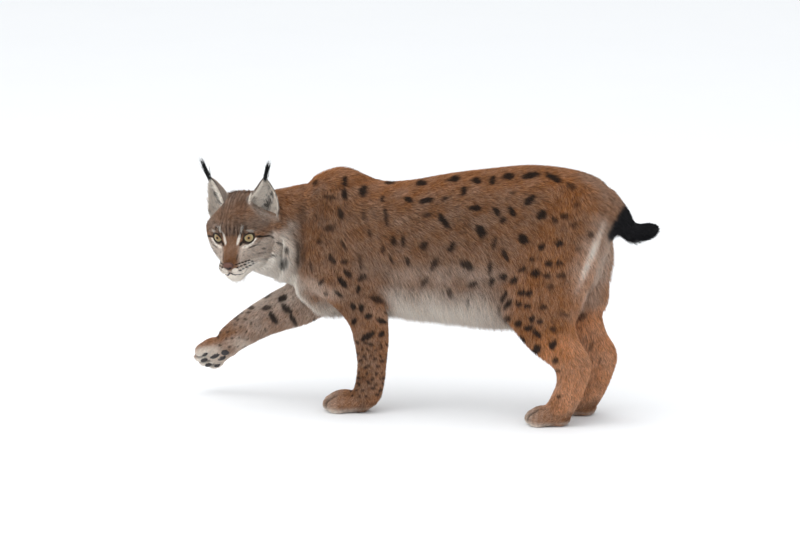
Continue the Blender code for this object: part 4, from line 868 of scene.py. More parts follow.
def body_marks(points, places, shares):
    """The spots, and painted shade where the neck meets the shoulder: read in the view on the near side, and
    mirrored to the far side about the middle of the body and of each leg."""
    wobble = ripple(points, 0.016, 3) * 0.22 + ripple(points, 0.006, 5) * 0.12
    u, v = near_pixels(points)
    near = marked(u, v, (*NEAR_SPOTS, *strewn_spots()), wobble) ** SPOT_SOFTNESS
    # The painted shade over the neck and shoulder joins the spots.
    near = np.maximum(near, washed(u, v, BODY_PAINTED_SHADE))
    legs = {}
    for name in ("hind_right", "fore_right"):
        path = PARTS[name][0]
        axis = path["centres"][np.round(places[name][0] * (len(path["centres"]) - 1)).astype(int), 1]
        folded = points.copy()
        folded[:, 1] = axis - np.abs(points[:, 1] - axis)
        legs[name] = marked(*view_pixels(folded), (*FAR_SPOTS, *strewn_spots()), wobble)
    outer = points.copy()
    outer[:, 0] -= hind_right_reach(points[:, 2])
    outer[:, 1] = -points[:, 1]
    hind_outer = marked(*view_pixels(outer), NEAR_SPOTS, wobble)
    right_hind = np.where(places["hind_right"][1] > 0, hind_outer, legs["hind_right"])
    share = {name: shares[:, i] for i, name in enumerate(NAMES)}
    inner = smooth(0.35, 0.75, places["hind_left"][1]) * share["hind_left"]
    inner = inner + smooth(0.35, 0.75, places["fore_left"][1]) * share["fore_left"]
    near = near * (1 - 0.7 * inner)
    hind = share["hind_right"] + share["hind_paw_right"]
    fore = share["fore_right"] + share["fore_paw_right"]
    return near * (1 - hind - fore) + right_hind * hind + legs["fore_right"] * fore


def part_tones(places):
    """Pale and rust of each part by where a point is on it: along from its start, across, and up or, on a
    level leg, aft."""
    flat = np.zeros(len(places["torso"][0]))
    along, _, above, _ = places["torso"]
    back, low = smooth(0.50, 0.96, above), smooth(-0.50, -0.98, above) * smooth(0.78, 0.64, along)
    chest = smooth(0.20, 0.02, along) * smooth(0.3, -0.4, above)
    tones = {"torso": (0.05 + 0.10 * smooth(0.1, -0.5, above) + 0.74 * low + 0.42 * chest,
                       0.26 + 0.66 * back + 0.22 * smooth(0.62, 0.95, along) * (1 - low))}
    along, _, above, _ = places["neck"]
    tones["neck"] = (0.06 + 0.62 * smooth(-0.25, -0.85, above), 0.28 + 0.45 * smooth(0.3, 0.9, above))
    tones["tail"] = (flat + 0.18, flat + 0.55)
    for name in ("hind_left", "hind_right"):
        along, across, aft, _ = places[name]
        inner = smooth(0.1, 0.8, across if name == "hind_left" else -across)
        rump = smooth(0.60, 0.98, aft) * smooth(0.62, 0.40, along) * smooth(0.02, 0.14, along)
        shin = smooth(-0.2, -0.9, aft) * smooth(0.66, 0.82, along)
        heel = smooth(0.2, 0.9, aft) * smooth(0.80, 0.95, along)
        tones[name] = (0.02 + 0.12 * rump + 0.12 * shin + 0.12 * heel + 0.15 * inner * (1 - along)
                       + 0.10 * smooth(0.45, 0.65, along),
                       0.92 + 0.46 * smooth(0.35, 0.62, along) + 0.30 * rump + 0.25 * inner * (1 - along))
    along, across, aft, _ = places["fore_left"]
    inner = smooth(0.1, 0.8, across) * (1 - along)
    tones["fore_left"] = (0.04 + 0.04 * smooth(0.35, 0.6, along) + 0.35 * inner,
                          0.44 + 0.60 * smooth(0.2, 0.9, aft) * smooth(0.3, 0.5, along))
    along, across, under, _ = places["fore_right"]
    forearm = smooth(0.25, 0.45, along) * smooth(0.95, 0.75, along)
    tones["fore_right"] = (0.10 + 0.36 * forearm * (0.45 + 0.55 * smooth(0.2, -0.7, under)),
                           0.42 + 0.10 * smooth(0.8, 1.0, along))
    for name in PAWS:
        along, _, above, _ = places[name]
        tones[name] = (0.08 + 0.30 * smooth(0.5, 1.0, along) + 0.60 * smooth(0.0, -0.7, above), flat + 0.75)
    return tones


def face_tones(local):
    """Pale, rust and mark of the head by its own millimetres, with strokes read in the view on the near
    half and mirrored to the other."""
    f, side, u = local[:, 0], np.abs(local[:, 1]), local[:, 2]
    pu, pv = view_pixels(in_head(np.column_stack([f, side, u])))
    wobble = ripple(local, 9.0, 8) * 0.10 + ripple(local, 3.0, 9) * 0.06
    bridge = smooth(19, 9, side) * smooth(40, 58, f) * smooth(-42, -32, u)
    brow = smooth(12, 24, u) * smooth(-60, -20, f)
    lips = smooth(-34, -44, u) * smooth(52, 68, f)
    jaw = smooth(-56, -72, u)
    cheek = smooth(14, 26, side) * smooth(8, -10, u)
    pale = 0.06 + 0.52 * cheek + 0.48 * lips + 0.75 * jaw + 0.10 * brow
    rust = 0.24 + 0.30 * bridge - 0.06 * brow - 0.08 * cheek - 0.22 * lips - 0.25 * jaw
    phase = side / 9.5 + 0.010 * u * smooth(0, 30, side) + 0.35 * ripple(local * (0.5, 1, 0.35), 17.0, 12)
    stripes = smooth(-0.25, 0.35, np.cos(2 * math.pi * (phase - 0.5)))
    stripes *= smooth(11, 19, u) * smooth(42, 30, side) * smooth(-110, -80, f)
    stripes *= 0.75 + 0.25 * smooth(-0.5, 0.2, ripple(local, 15.0, 16))
    mottle = smooth(0.35, 0.9, ripple(local * (1, 1, 1.6), 9.0, 14)) * cheek * (1 - lips) * 0.45
    mark = marked(pu, pv, FACE_DARK, wobble)
    mark = np.maximum(mark, np.maximum(0.92 * stripes, mottle))
    mark = np.maximum(mark, 0.36 * smooth(10, 22, u) * (1 - jaw) + 0.30 * bridge)
    gap, within = ear_cup(np.column_stack([f, side, u]), 1)
    bowl = within * smooth(-6.0, -1.0, gap)
    pale = pale + bowl * (0.62 - pale)
    mark = mark * (1 - bowl) + bowl * 0.35 * smooth(0.0, 0.6, ripple(local, 8.0, 17))
    for turn in (1, -1):
        middle, way, across, rise = eye_axes(turn)
        away = local - middle
        round_eye = smooth(1.22, 1.10, lid_share(away @ across, away @ rise)) * (away @ way > 2.0)
        mark = np.maximum(mark, round_eye * (np.linalg.norm(away, axis=1) < 36))
    spots = []
    for first, last in WHISKER_ROWS:
        for share in np.linspace(0, 1, WHISKER_SPOTS):
            spots.append((*(np.array(first) * (1 - share) + np.array(last) * share), 1.55, 0.75, 18, 1.0))
    mark = np.maximum(mark, marked(pu, pv, spots, wobble))
    white = marked(pu, pv, FACE_PALE, wobble)
    return pale + (1.0 - pale) * white, rust * (1 - 0.8 * white), mark


OTHER_ROWS = ("torso", "tail", "hind", "fore", "lifted", "paw")


def row_of(name):
    return PARTS[name][1]


# Where the tail turns black, from its upper to its lower side: x, z.
TAIL_BLACK_LINE = ((0.390, 0.489), (0.368, 0.449))


def tones_at(points, places, shares):
    """Pale, rust, mark and black of skin or hair whose colour is read at these points. Mark also holds
    painted shade where the neck meets the shoulder and between the toes.
    """
    total = {key: np.zeros(len(points)) for key in ("pale", "rust")}
    ruff = shares[:, [NAMES.index(n) for n in ("ruff_left", "ruff_right")]].sum(1)
    head_share = ruff + shares[:, NAMES.index("head")]
    local = from_head(points)
    beside = smooth(-38, -18, local[:, 0]) * smooth(140, 124, np.abs(local[:, 1]))
    beside = beside * smooth(48, 30, local[:, 2])
    head_share = head_share + shares[:, NAMES.index("neck")] * np.maximum(beside, smooth(45, 60, local[:, 0]))
    for name, (pale, rust) in part_tones(places).items():
        share = shares[:, NAMES.index(name)]
        if name == "neck":
            others = [NAMES.index(n) for n in NAMES if row_of(n) in OTHER_ROWS]
            share = 1 - head_share - shares[:, others].sum(1)
        total["pale"] += share * pale
        total["rust"] += share * rust
    pale, rust, mark = face_tones(local)
    pale = pale + ruff * np.clip(1.0 - pale, 0, None) * smooth(5, -35, local[:, 2])
    total["pale"] += head_share * pale
    total["rust"] += head_share * rust
    inner = shares[:, NAMES.index("hind_right")] * (places["hind_right"][1] < 0.4)
    pale = washed(*near_pixels(points), BODY_PALE) * (1 - head_share) * (1 - inner)
    total["pale"] += pale * (1 - total["pale"])
    total["rust"] += 1.1 * pale
    # Painted shade in the clefts between the toes, laid in with the spots.
    body = np.maximum(body_marks(points, places, shares), 0.8 * paw_clefts(places, shares))
    total["mark"] = head_share * mark + (1 - head_share) * body
    blotch = ripple(points, 0.045, 31) * 0.10 + ripple(points, 0.014, 32) * 0.08
    total["pale"] = np.clip(total["pale"] + blotch * (0.4 + total["pale"]), 0, 1)
    total["rust"] = np.clip(total["rust"] + ripple(points, 0.06, 33) * 0.14, 0, 1.5)
    streaks = smooth(0.15, 0.85, ripple(points, 0.024, 35)) * (1 - head_share) * (1 - total["pale"])
    total["mark"] = np.maximum(total["mark"], 0.22 * streaks)
    (x0, z0), (x1, z1) = TAIL_BLACK_LINE
    beyond = (points[:, 0] - x0) * (z0 - z1) + (points[:, 2] - z0) * (x1 - x0)
    total["black"] = smooth(-0.00005, 0.00030, beyond) * smooth(2.2, 1.5, places["tail"][3])
    return total


def skin_tones(points):
    return tones_at(points, *survey(points))


def ellipsoid(name, centre, radii, turn, around=28, rings=16):
    """A ball as a grid of latitude and longitude, scaled by its radii, turned, and set at its centre."""
    tilt = np.linspace(0, math.pi, rings + 2)[1:-1, None]
    spin = np.linspace(0, 2 * math.pi, around, endpoint=False)
    ball = np.stack([np.sin(tilt) * np.cos(spin), np.sin(tilt) * np.sin(spin), np.cos(tilt) + 0 * spin], -1)
    return tube(name, centre + (ball * radii) @ np.asarray(turn).T)


def settle(obj):
    """Replaces the object's mesh by the one that its modifiers make."""
    graph = bpy.context.evaluated_depsgraph_get()
    made = bpy.data.meshes.new_from_object(obj.evaluated_get(graph))
    obj.modifiers.clear()
    obj.data = made


def join(name, objects):
    whole = bmesh.new()
    for obj in objects:
        whole.from_mesh(obj.data)
        bpy.data.objects.remove(obj, do_unlink=True)
    mesh = bpy.data.meshes.new(name)
    whole.to_mesh(mesh)
    whole.free()
    made = bpy.data.objects.new(name, mesh)
    bpy.context.scene.collection.objects.link(made)
    return made


def fuse(name, objects, voxel, rounds):
    """One closed skin round all the shapes, remeshed in voxels and smoothed."""
    whole = join(name, objects)
    remesh = whole.modifiers.new("remesh", "REMESH")
    remesh.mode = "VOXEL"
    remesh.voxel_size = voxel
    soften = whole.modifiers.new("soften", "SMOOTH")
    soften.factor = 0.5
    soften.iterations = rounds
    settle(whole)
    return whole


def mesh_arrays(obj):
    """Points, normals and triangles of a mesh."""
    mesh = obj.data
    mesh.calc_loop_triangles()
    points = np.empty(len(mesh.vertices) * 3, np.float32)
    normals = np.empty(len(mesh.vertices) * 3, np.float32)
    tris = np.empty(len(mesh.loop_triangles) * 3, np.int32)
    mesh.vertices.foreach_get("co", points)
    mesh.vertex_normals.foreach_get("vector", normals)
    mesh.loop_triangles.foreach_get("vertices", tris)
    return points.reshape(-1, 3).astype(float), normals.reshape(-1, 3).astype(float), tris.reshape(-1, 3)


def set_points(obj, points):
    obj.data.vertices.foreach_set("co", points.astype(np.float32).ravel())
    obj.data.update()


def set_attribute(obj, name, values):
    """A vector attribute on the points."""
    made = obj.data.attributes.get(name) or obj.data.attributes.new(name, "FLOAT_VECTOR", "POINT")
    made.data.foreach_set("vector", np.asarray(values, np.float32).ravel())


def eye_axes(side):
    """The eye's middle, the way it faces, and the ways outwards and up along its slanted opening."""
    f, left, u = EYE_AT
    out, up = math.radians(EYE_OUT), math.radians(EYE_UP)
    way = np.array([math.cos(out) * math.cos(up), side * math.sin(out) * math.cos(up), math.sin(up)])
    across = unit(np.cross((0, 0, 1.0), way)) * side
    rise = np.cross(way, across) * side
    c, s = math.cos(math.radians(LID_SLANT)), math.sin(math.radians(LID_SLANT))
    return np.array([f, side * left, u]), way, across * c + rise * s, rise * c - across * s


def lid_share(x, y):
    """1 on the edge of the almond opening, less inside it and more outside."""
    x = x / LID_HALF_WIDTH
    tall = LID_HALF_HEIGHT * (1 - 0.25 * np.clip(x, -1, 1) ** 2)
    return np.hypot(x, y / tall)


def open_eye(local, side):
    """Head points round an eye: inside the opening they sink behind the ball, and outside it they stay over
    the lid's radius and slope up to the skin."""
    middle, way, across, rise = eye_axes(side)
    away = local - middle
    radius = np.linalg.norm(away, axis=1)
    share = lid_share(away @ across, away @ rise)
    front = (away @ way > 2.0) & (radius < 34.0)
    slope = LID_RADIUS + 22.0 * np.maximum(share - 1.14, 0)
    wanted = np.where(share < 1.0, EYE_RADIUS - 2.5, np.clip(radius, LID_RADIUS - 0.4, slope))
    return middle + away * (np.where(front, wanted, radius) / radius)[:, None]


def ear_frame(side):
    """Root, tip, and the unit ways across and out of the opening, in the head's millimetres."""
    root, tip, across = (np.array([p[0], side * p[1], p[2]]) for p in (EAR_ROOT, EAR_TIP, EAR_ACROSS))
    across = unit(across)
    return root, tip, across, unit(np.cross(across, tip - root)) * side


def ear_size(high):
    """Half width and depth of the ear's cup at a share of its height."""
    high = np.clip(high, 0, 1)
    width = EAR_HALF_WIDTH * (1 - high) ** 0.85 * (1 + 0.25 * high) + 0.6
    return width, EAR_DEPTH * (1 - high) ** 0.8 + 0.6


def ear_cup(local, side):
    """How many millimetres points lie ahead of the cup's wall, and how far within its rim, 0 to 1."""
    root, tip, across, opening = ear_frame(side)
    high, over, ahead = np.linalg.solve(np.column_stack([tip - root, across, opening]), (local - root).T)
    held = np.clip(high, 0, 1)
    over = over - 4 * held * (1 - held) * EAR_BOW[side]
    width, depth = ear_size(high)
    wall = -depth * np.sqrt(1 - np.clip(np.abs(over) / width, 0, 1) ** 2) - EAR_BEHIND
    floor = EAR_FLOOR + EAR_FLOOR_RISE * (over - EAR_FLOOR_AT) ** 2
    within = smooth(floor - 0.03, floor + 0.13, high) * smooth(1.06, 0.96, np.abs(over) / width)
    return ahead - wall, within * (ahead < 45) * (high < 1)


def by_ears(local):
    """1 close in front of the ears' cups, 0 away from them."""
    near = np.zeros(len(local))
    for side in (1, -1):
        lower = local + 0.22 * (ear_frame(side)[1] - ear_frame(side)[0])
        gap, within = ear_cup(lower, side)
        near = np.maximum(near, within * smooth(-4, 0, gap))
    return near


def press_ears(local, deeper=0.0):
    """Head points with those in front of the ears' walls pressed back behind them."""
    for side in (1, -1):
        gap, within = ear_cup(local, side)
        push = np.maximum(gap + deeper, 0) * within
        local = local - push[:, None] * ear_frame(side)[3]
    return local


def near_line(local, line):
    """Distance in millimetres from each point to a line given by close points."""
    return np.concatenate([
        np.sqrt(((chunk[:, None, :] - line) ** 2).sum(-1).min(1)) for chunk in np.array_split(local, 16)
    ])


def mouth_line():
    line = [*[(f, -left, u) for f, left, u in MOUTH[:0:-1]], *MOUTH]
    return smooth_rows(line, 8)


def head_skin():
    """The head, at a fine grain: skull, cheeks, muzzle and ruff, sunk by the depth of the coat, with the
    mouth pressed in and the eyes opened."""
    shapes = [loft("skull", PARTS["head"][0], 0.4, 0.9), loft("neck", PARTS["neck"][0])]
    shapes += [loft("ruff", PARTS[name][0]) for name in ("ruff_left", "ruff_right")]
    shapes.append(ellipsoid("cheek", in_head(CHEEK[0]), np.array(CHEEK[1]) * MM, HEAD_AXES))
    for f, left, u, rf, rl, ru, pitch in HEAD_BLOBS:
        turn = HEAD_AXES @ np.array(Matrix.Rotation(math.radians(pitch), 3, "Y"))
        for side in (1, -1) if left else (1,):
            shapes.append(ellipsoid("mass", in_head((f, side * left, u)), np.array([rf, rl, ru]) * MM, turn))
    head = fuse("head_skin", shapes, HEAD_VOXEL, 8)
    points, normals, _ = mesh_arrays(head)
    places, shares = survey(points)
    sink = coat_sizes(places, shares)[1]
    points = points - normals * sink[:, None] * MM
    local = from_head(points)
    crease = near_line(local, mouth_line())
    press = 2.6 * (1 - np.clip(crease / 4.5, 0, 1) ** 2) ** 2
    local = local - (normals @ HEAD_AXES) * press[:, None]
    for side in (1, -1):
        local = open_eye(local, side)
    set_points(head, in_head(press_ears(local)))
    return head


def cut_neck(head):
    """Keeps the head in front of a level that is hidden well inside the neck."""
    shape = bmesh.new()
    shape.from_mesh(head.data)
    cut = in_head((-58, 0, 0))
    geometry = shape.verts[:] + shape.edges[:] + shape.faces[:]
    bmesh.ops.bisect_plane(
        shape, geom=geometry, plane_co=cut, plane_no=-HEAD_AXES[:, 0], clear_outer=True
    )
    rim = [edge for edge in shape.edges if edge.is_boundary]
    bmesh.ops.holes_fill(shape, edges=rim)
    bmesh.ops.triangulate(shape, faces=[f for f in shape.faces if len(f.verts) > 4])
    shape.to_mesh(head.data)
    shape.free()


def body_skin():
    """The body at a coarser grain, sunk by the depth of the coat, and let down flat to the floor. The back
    of the head is in it too, a little deeper, to carry the neck past the level where the finer head ends."""
    shapes = [loft(name, path) for name, (path, row) in PARTS.items() if row not in ("paw", "ruff", "head")]
    shapes.append(loft("nape", skull_path(HEAD_SLICES[:NAPE_SLICES]), 0.4, 0.9))
    for name in PAWS:
        lift, turn, size = paw_place(name)
        for row in PAW_BLOBS:
            x, y, z, *radii = np.array(row) * size
            shapes.append(ellipsoid("paw", lift + turn @ (x, y, z), np.array(radii), turn))
    body = fuse("body_skin", shapes, BODY_VOXEL, 6)
    points, normals, _ = mesh_arrays(body)
    places, shares = survey(points)
    sink = coat_sizes(places, shares)[1] + NAPE_SINK * shares[:, NAMES.index("head")]
    points = points - normals * sink[:, None] * MM
    points -= normals * (3.0 * MM * paw_clefts(places, shares))[:, None]
    points = in_head(press_ears(from_head(points), 2.0))
    points[:, 2] = np.maximum(points[:, 2], 0.0006)
    set_points(body, points)
    return body


def paw_clefts(places, shares):
    """1 in the gaps between the toes, 0 away from them: where the skin is pressed in and painted shade is
    laid.
    """
    total = np.zeros(len(shares))
    for name in PAWS:
        along, across, _, _ = places[name]
        gaps = sum(np.exp(-(((across - at) / 0.11) ** 2)) for at in (-0.54, 0.0, 0.54))
        total += shares[:, NAMES.index(name)] * gaps * smooth(0.58, 0.74, along)
    return np.clip(total, 0, 1)


def shade_tools(tree):
    """Small makers of nodes in one tree. Each takes sockets or numbers and gives back a socket."""
    nodes, links = tree.nodes, tree.links

    def plug(socket, value):
        if isinstance(value, bpy.types.NodeSocket):
            links.new(value, socket)
        elif isinstance(value, (tuple, list)) and len(value) == 3 and socket.type == "RGBA":
            socket.default_value = (*value, 1.0)
        else:
            socket.default_value = value

    def maths(kind, a, b=0.5, clamp=False):
        node = nodes.new("ShaderNodeMath")
        node.operation, node.use_clamp = kind, clamp
        plug(node.inputs[0], a)
        plug(node.inputs[1], b)
        return node.outputs[0]

    def spread(value, low, high, to_low=0.0, to_high=1.0):
        node = nodes.new("ShaderNodeMapRange")
        node.interpolation_type = "SMOOTHSTEP"
        for name, number in zip(("From Min", "From Max", "To Min", "To Max"), (low, high, to_low, to_high)):
            node.inputs[name].default_value = number
        plug(node.inputs["Value"], value)
        return node.outputs[0]

    def mix(share, a, b, kind="MIX"):
        node = nodes.new("ShaderNodeMix")
        node.data_type, node.blend_type = "RGBA", kind
        plug(node.inputs[0], share)
        plug(node.inputs[6], a)
        plug(node.inputs[7], b)
        return node.outputs[2]

    def scale(colour, amount):
        node = nodes.new("ShaderNodeVectorMath")
        node.operation = "SCALE"
        plug(node.inputs[0], colour)
        plug(node.inputs["Scale"], amount)
        return node.outputs[0]

    def attribute(name):
        node = nodes.new("ShaderNodeAttribute")
        node.attribute_name = name
        split = nodes.new("ShaderNodeSeparateXYZ")
        links.new(node.outputs["Vector"], split.inputs[0])
        return split.outputs

    def noise(size, detail=3.0, vector=None, rough=0.55):
        node = nodes.new("ShaderNodeTexNoise")
        node.inputs["Scale"].default_value = size
        node.inputs["Detail"].default_value = detail
        node.inputs["Roughness"].default_value = rough
        if vector is None:
            vector = nodes.new("ShaderNodeTexCoord").outputs["Object"]
        links.new(vector, node.inputs["Vector"])
        return node.outputs[0]

    def bump(height, strength, distance):
        node = nodes.new("ShaderNodeBump")
        node.inputs["Strength"].default_value = strength
        node.inputs["Distance"].default_value = distance
        links.new(height, node.inputs["Height"])
        return node.outputs[0]

    return plug, maths, spread, mix, scale, attribute, noise, bump


def new_material(name, **settings):
    """A Principled material with these plain settings, and the tools to add to it."""
    made = bpy.data.materials.get(name)
    if made:
        bpy.data.materials.remove(made)
    made = bpy.data.materials.new(name)
    made.use_nodes = True
    shader = made.node_tree.nodes["Principled BSDF"]
    for key, value in settings.items():
        shader.inputs[key.replace("_", " ")].default_value = value
    return made, shader, shade_tools(made.node_tree)


def shades(tint, low, high):
    """The colour scaled down or up twice."""
    return tuple(c * low for c in tint), tuple(c * high for c in tint)


def mottled_material(name, size, colours, grain=None, **settings):
    """A look whose colour wanders between two, at a noise of that scale, with fine bumps where grain gives
    their scale, detail, strength and depth."""
    made, shader, tools = new_material(name, **settings)
    plug, _, _, mix, _, _, noise, bump = tools
    plug(shader.inputs["Base Color"], mix(noise(size), *colours))
    if grain:
        fineness, detail, strength, depth = grain
        plug(shader.inputs["Normal"], bump(noise(fineness, detail), strength, depth))
    return made


def coat_material(coat):
    """Fur. The tone attribute holds mark, pale and rust, the hair attribute the share along the hair, the
    hair's own chance and black. Hairs are dark at the root, partly their own darker base and partly painted
    shade deep in the coat, and some are frosted at the tip."""
    made, shader, tools = new_material(
        "coat", Roughness=0.75, Specular_IOR_Level=0.10, Sheen_Weight=0.05, Sheen_Roughness=0.55
    )
    plug, maths, spread, mix, scale, attribute, noise, bump = tools
    mark, pale, rust = attribute("tone")
    along, chance, black = attribute("hair")
    ground = mix(rust, tuple(coat.ground), tuple(coat.rufous))
    ground = scale(ground, spread(rust, 1.0, 1.5, 1.0, 1.7))
    ground = mix(pale, ground, tuple(coat.pale))
    lively = spread(chance, 0.0, 1.0, 0.58, 1.42)
    calm = maths("MULTIPLY", pale, 0.62)
    lively = maths("ADD", maths("MULTIPLY", lively, maths("SUBTRACT", 1.0, calm)), calm)
    # Darker towards the root: partly the hair's own darker base, partly painted shade among the hairs; pale
    # hair is lifted out of most of it.
    root = spread(along, 0.0, 0.8, 0.50, 1.12)
    lift = maths("MULTIPLY", maths("SUBTRACT", 1.08, root), maths("MULTIPLY", pale, 0.95))
    ground = scale(ground, maths("MULTIPLY", lively, maths("ADD", root, lift)))
    frosted = maths("MULTIPLY", spread(along, 0.45, 1.0), spread(chance, 0.60, 0.95, 0.0, 0.50))
    frosted = maths("MULTIPLY", frosted, maths("SUBTRACT", 1.0, mark), clamp=True)
    ground = mix(frosted, ground, tuple(coat.frost))
    # The spots' colour, laid also as painted shade where the neck meets the shoulder and between the toes.
    ground = mix(maths("MULTIPLY", mark, spread(along, 0.0, 0.5, 0.80, 0.96)), ground, tuple(coat.spot))
    ground = mix(black, ground, tuple(coat.black))
    plug(shader.inputs["Base Color"], ground)
    plug(shader.inputs["Normal"], bump(noise(900.0, 2.0), 0.25, 0.0006))
    return made


def finish_piece(obj, material, nodes=()):
    """Moves a drawn piece to its place and gives it its finish and its body, and hides the nodes it stands
    for.
    """
    obj.data.transform(Matrix.Translation(Vector(-MIDDLE)))
    obj.data.materials.clear()
    obj.data.materials.append(material)
    obj.data.shade_smooth()
    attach(obj, "root")
    if nodes:
        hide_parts(*nodes)
    return obj


FLESH = [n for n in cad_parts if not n.startswith(("eye_", "ear_", "nose"))]


def make_skin(settings):
    """One closed skin: the body and the finer head joined, and toned as the coat is."""
    head = head_skin()
    cut_neck(head)
    skin = body_skin()
    alone = len(skin.data.polygons)
    change = skin.modifiers.new("head", "BOOLEAN")
    change.object = head
    change.operation = "UNION"
    change.solver = "MANIFOLD"
    settle(skin)
    bpy.data.objects.remove(head, do_unlink=True)
    if len(skin.data.polygons) < 1.2 * alone:
        raise RuntimeError("the head and the body didn't join")
    skin.name = skin.data.name = "skin"
    points, _, _ = mesh_arrays(skin)
    tones = skin_tones(points)
    set_attribute(skin, "tone", np.column_stack([tones["mark"], tones["pale"], tones["rust"]]))
    flat = np.ones(len(points))
    # The skin is read as hair 0.30 along, so it gets much of the painted root shade.
    set_attribute(skin, "hair", np.column_stack([flat * 0.30, flat * 0.45, tones["black"]]))
    return finish_piece(skin, coat_material(settings), FLESH)


def strew(points, tris, per_area, chance):
    """Places spread over triangles, as many to each square metre as per_area says at their corners: the
    triangle of each and its three corner shares. Steps of even weight with a small jitter keep them even."""
    a, b, c = (points[tris[:, i]] for i in range(3))
    weight = np.linalg.norm(np.cross(b - a, c - a), axis=1) / 2 * per_area[tris].mean(1)
    reach = np.cumsum(weight)
    count = int(reach[-1])
    steps = (np.arange(count) + chance.uniform(0, 1, count)) / count * reach[-1]
    chosen = np.minimum(np.searchsorted(reach, steps), len(tris) - 1)
    r, s = np.sqrt(chance.uniform(size=count)), chance.uniform(size=count)
    return chosen, np.column_stack([1 - r, r * (1 - s), r * s])


def blend(values, tris, chosen, shares):
    """A field on the corners read at strewn places."""
    return (values[tris[chosen]] * (shares[:, :, None] if values.ndim > 1 else shares)).sum(1)


# One tuft: its root, the left, right and ridge points of its widest place, and its tip.
TUFT_TRIS = np.array([(0, 1, 2), (0, 2, 3), (0, 3, 1), (4, 2, 1), (4, 3, 2), (4, 1, 3)])
TUFT_WIDEST = 0.42
TUFT_RIDGE = 0.36
# The shares of the length at which the tones of its middle and of its tip are read.
TUFT_SEEN = (0.55, 0.85)


def tuft_piece(name, roots, normals, lies, sizes, read, uv, chance, droop=0.0, sweep=0.16):
    """A joined mesh of tufts. Each is a leaf with a ridge: its line leaves the root at the slope that brings
    the tip to its reach, and bends back towards the skin and by droop down. sizes are length, reach and
    width in metres, and read gives the tones of places on the tufts."""
    count = len(roots)
    length, reach, width = (s * chance.uniform(0.76, 1.18, count) for s in sizes)
    normals = unit(normals)
    lies = unit(lies - normals * (lies * normals).sum(1)[:, None])
    across = np.cross(normals, lies)
    curl = 0.10 + 0.04 * chance.normal(size=count)
    slope = np.clip(reach / length + curl, 0.05, 0.92)
    way = lies * np.sqrt(1 - slope**2)[:, None] + normals * slope[:, None]
    way = unit(way + across * (sweep * chance.normal(size=count))[:, None])
    side = unit(np.cross(way, np.cross(across, way)))
    ridge = np.cross(way, side)
    bend = -normals * curl[:, None] + np.array([0, 0, -1.0]) * np.broadcast_to(droop, count)[:, None]
    bend = (bend + across * (0.05 * chance.normal(size=count))[:, None]) * length[:, None]
    foot = roots - normals * np.minimum(0.25 * reach, 0.002)[:, None]
    way, half = way * length[:, None], (width / 2)[:, None]
    middle = foot + way * TUFT_WIDEST + bend * TUFT_WIDEST**2
    tip = roots + way + bend
    tip[:, 2] = np.maximum(tip[:, 2], 0.0008)
    crest = middle + ridge * width[:, None] * TUFT_RIDGE
    points = np.stack([foot, middle + side * half, middle - side * half, crest, tip], 1)
    points[:, :, 2] = np.maximum(points[:, :, 2], 0.0004)
    faces = (np.arange(count)[:, None, None] * 5 + TUFT_TRIS).reshape(-1, 3)
    made = put_mesh(name, points.reshape(-1, 3), faces)
    own = np.repeat(chance.uniform(size=count), 5)
    early, late = (read(foot + way * at + bend * at**2) for at in TUFT_SEEN)
    tones = {key: np.column_stack([early[key]] * 4 + [late[key]]).ravel() for key in early}
    set_attribute(made, "tone", np.column_stack([tones["mark"], tones["pale"], tones["rust"]]))
    # The share along each tuft, which the material darkens towards the root, partly as painted shade.
    along = np.tile([0.0, 0.45, 0.45, 0.5, 1.0], count)
    set_attribute(made, "hair", np.column_stack([along, own, tones["black"]]))
    patch = np.array([(0, -0.5), (-0.5, 0), (0.5, 0), (0, 0), (0, 0.5)]) * UV_PATCH
    layer = made.data.uv_layers.new(name="OFBake")
    placed = (uv[:, None, :] + patch).reshape(-1, 2)
    layer.data.foreach_set("uv", placed[faces.ravel()].astype(np.float32).ravel())
    return made


def fit_uv(uv):
    """Spreads an unwrap's places over the whole square, inside a margin."""
    low, high = uv.min(0), uv.max(0)
    return UV_MARGIN + (uv - low) / np.maximum(high - low, 1e-6) * (1 - 2 * UV_MARGIN)


def bare_share(points):
    """True where no hair grows: in the eyes, in the ears' cups, on the nose leather, in the line of the
    mouth and under the soles."""
    local = from_head(points)
    bare = np.zeros(len(points), bool)
    for side in (1, -1):
        middle, way, across, rise = eye_axes(side)
        away = local - middle
        inside = lid_share(away @ across, away @ rise) < 1.20
        bare |= inside & (away @ way > 2.0) & (np.linalg.norm(away, axis=1) < 30)
        gap, within = ear_cup(local, side)
        bare |= (within > 0.94) & (gap > -1.8)
    away = local - NOSE_AT
    bare |= np.linalg.norm(away / (np.array(NOSE_RADII) + (6.0, 0.5, 0.5)), axis=1) < 1.0
    near = (local[:, 0] > 40) & (np.abs(local[:, 1]) < 50)
    bare[near] |= near_line(local[near], mouth_line()) < 2.0
    return bare | (points[:, 2] < 0.003)


def piece_names(points, shares):
    """The coat piece that each root belongs to, by the part that it is most on."""
    most = np.array(NAMES)[shares.argmax(1)].astype("U32")
    torso = most == "torso"
    side = np.where(points[:, 1] < 0, "left", "right")
    length = np.digitize(points[:, 0], (-0.13, 0.11))
    names = np.char.add("coat_", most)
    stretch = np.array(["shoulder", "flank", "loin"])[length]
    names[torso] = np.char.add(np.char.add("coat_", stretch), np.char.add("_", side))[torso]
    head = most == "head"
    ahead = from_head(points)[:, 0] > 22
    names[head & ahead] = "coat_face"
    names[head & ~ahead] = "coat_crown"
    for paw in PAWS:
        names[most == paw] = "coat_" + paw.replace("_paw", "")
    return names


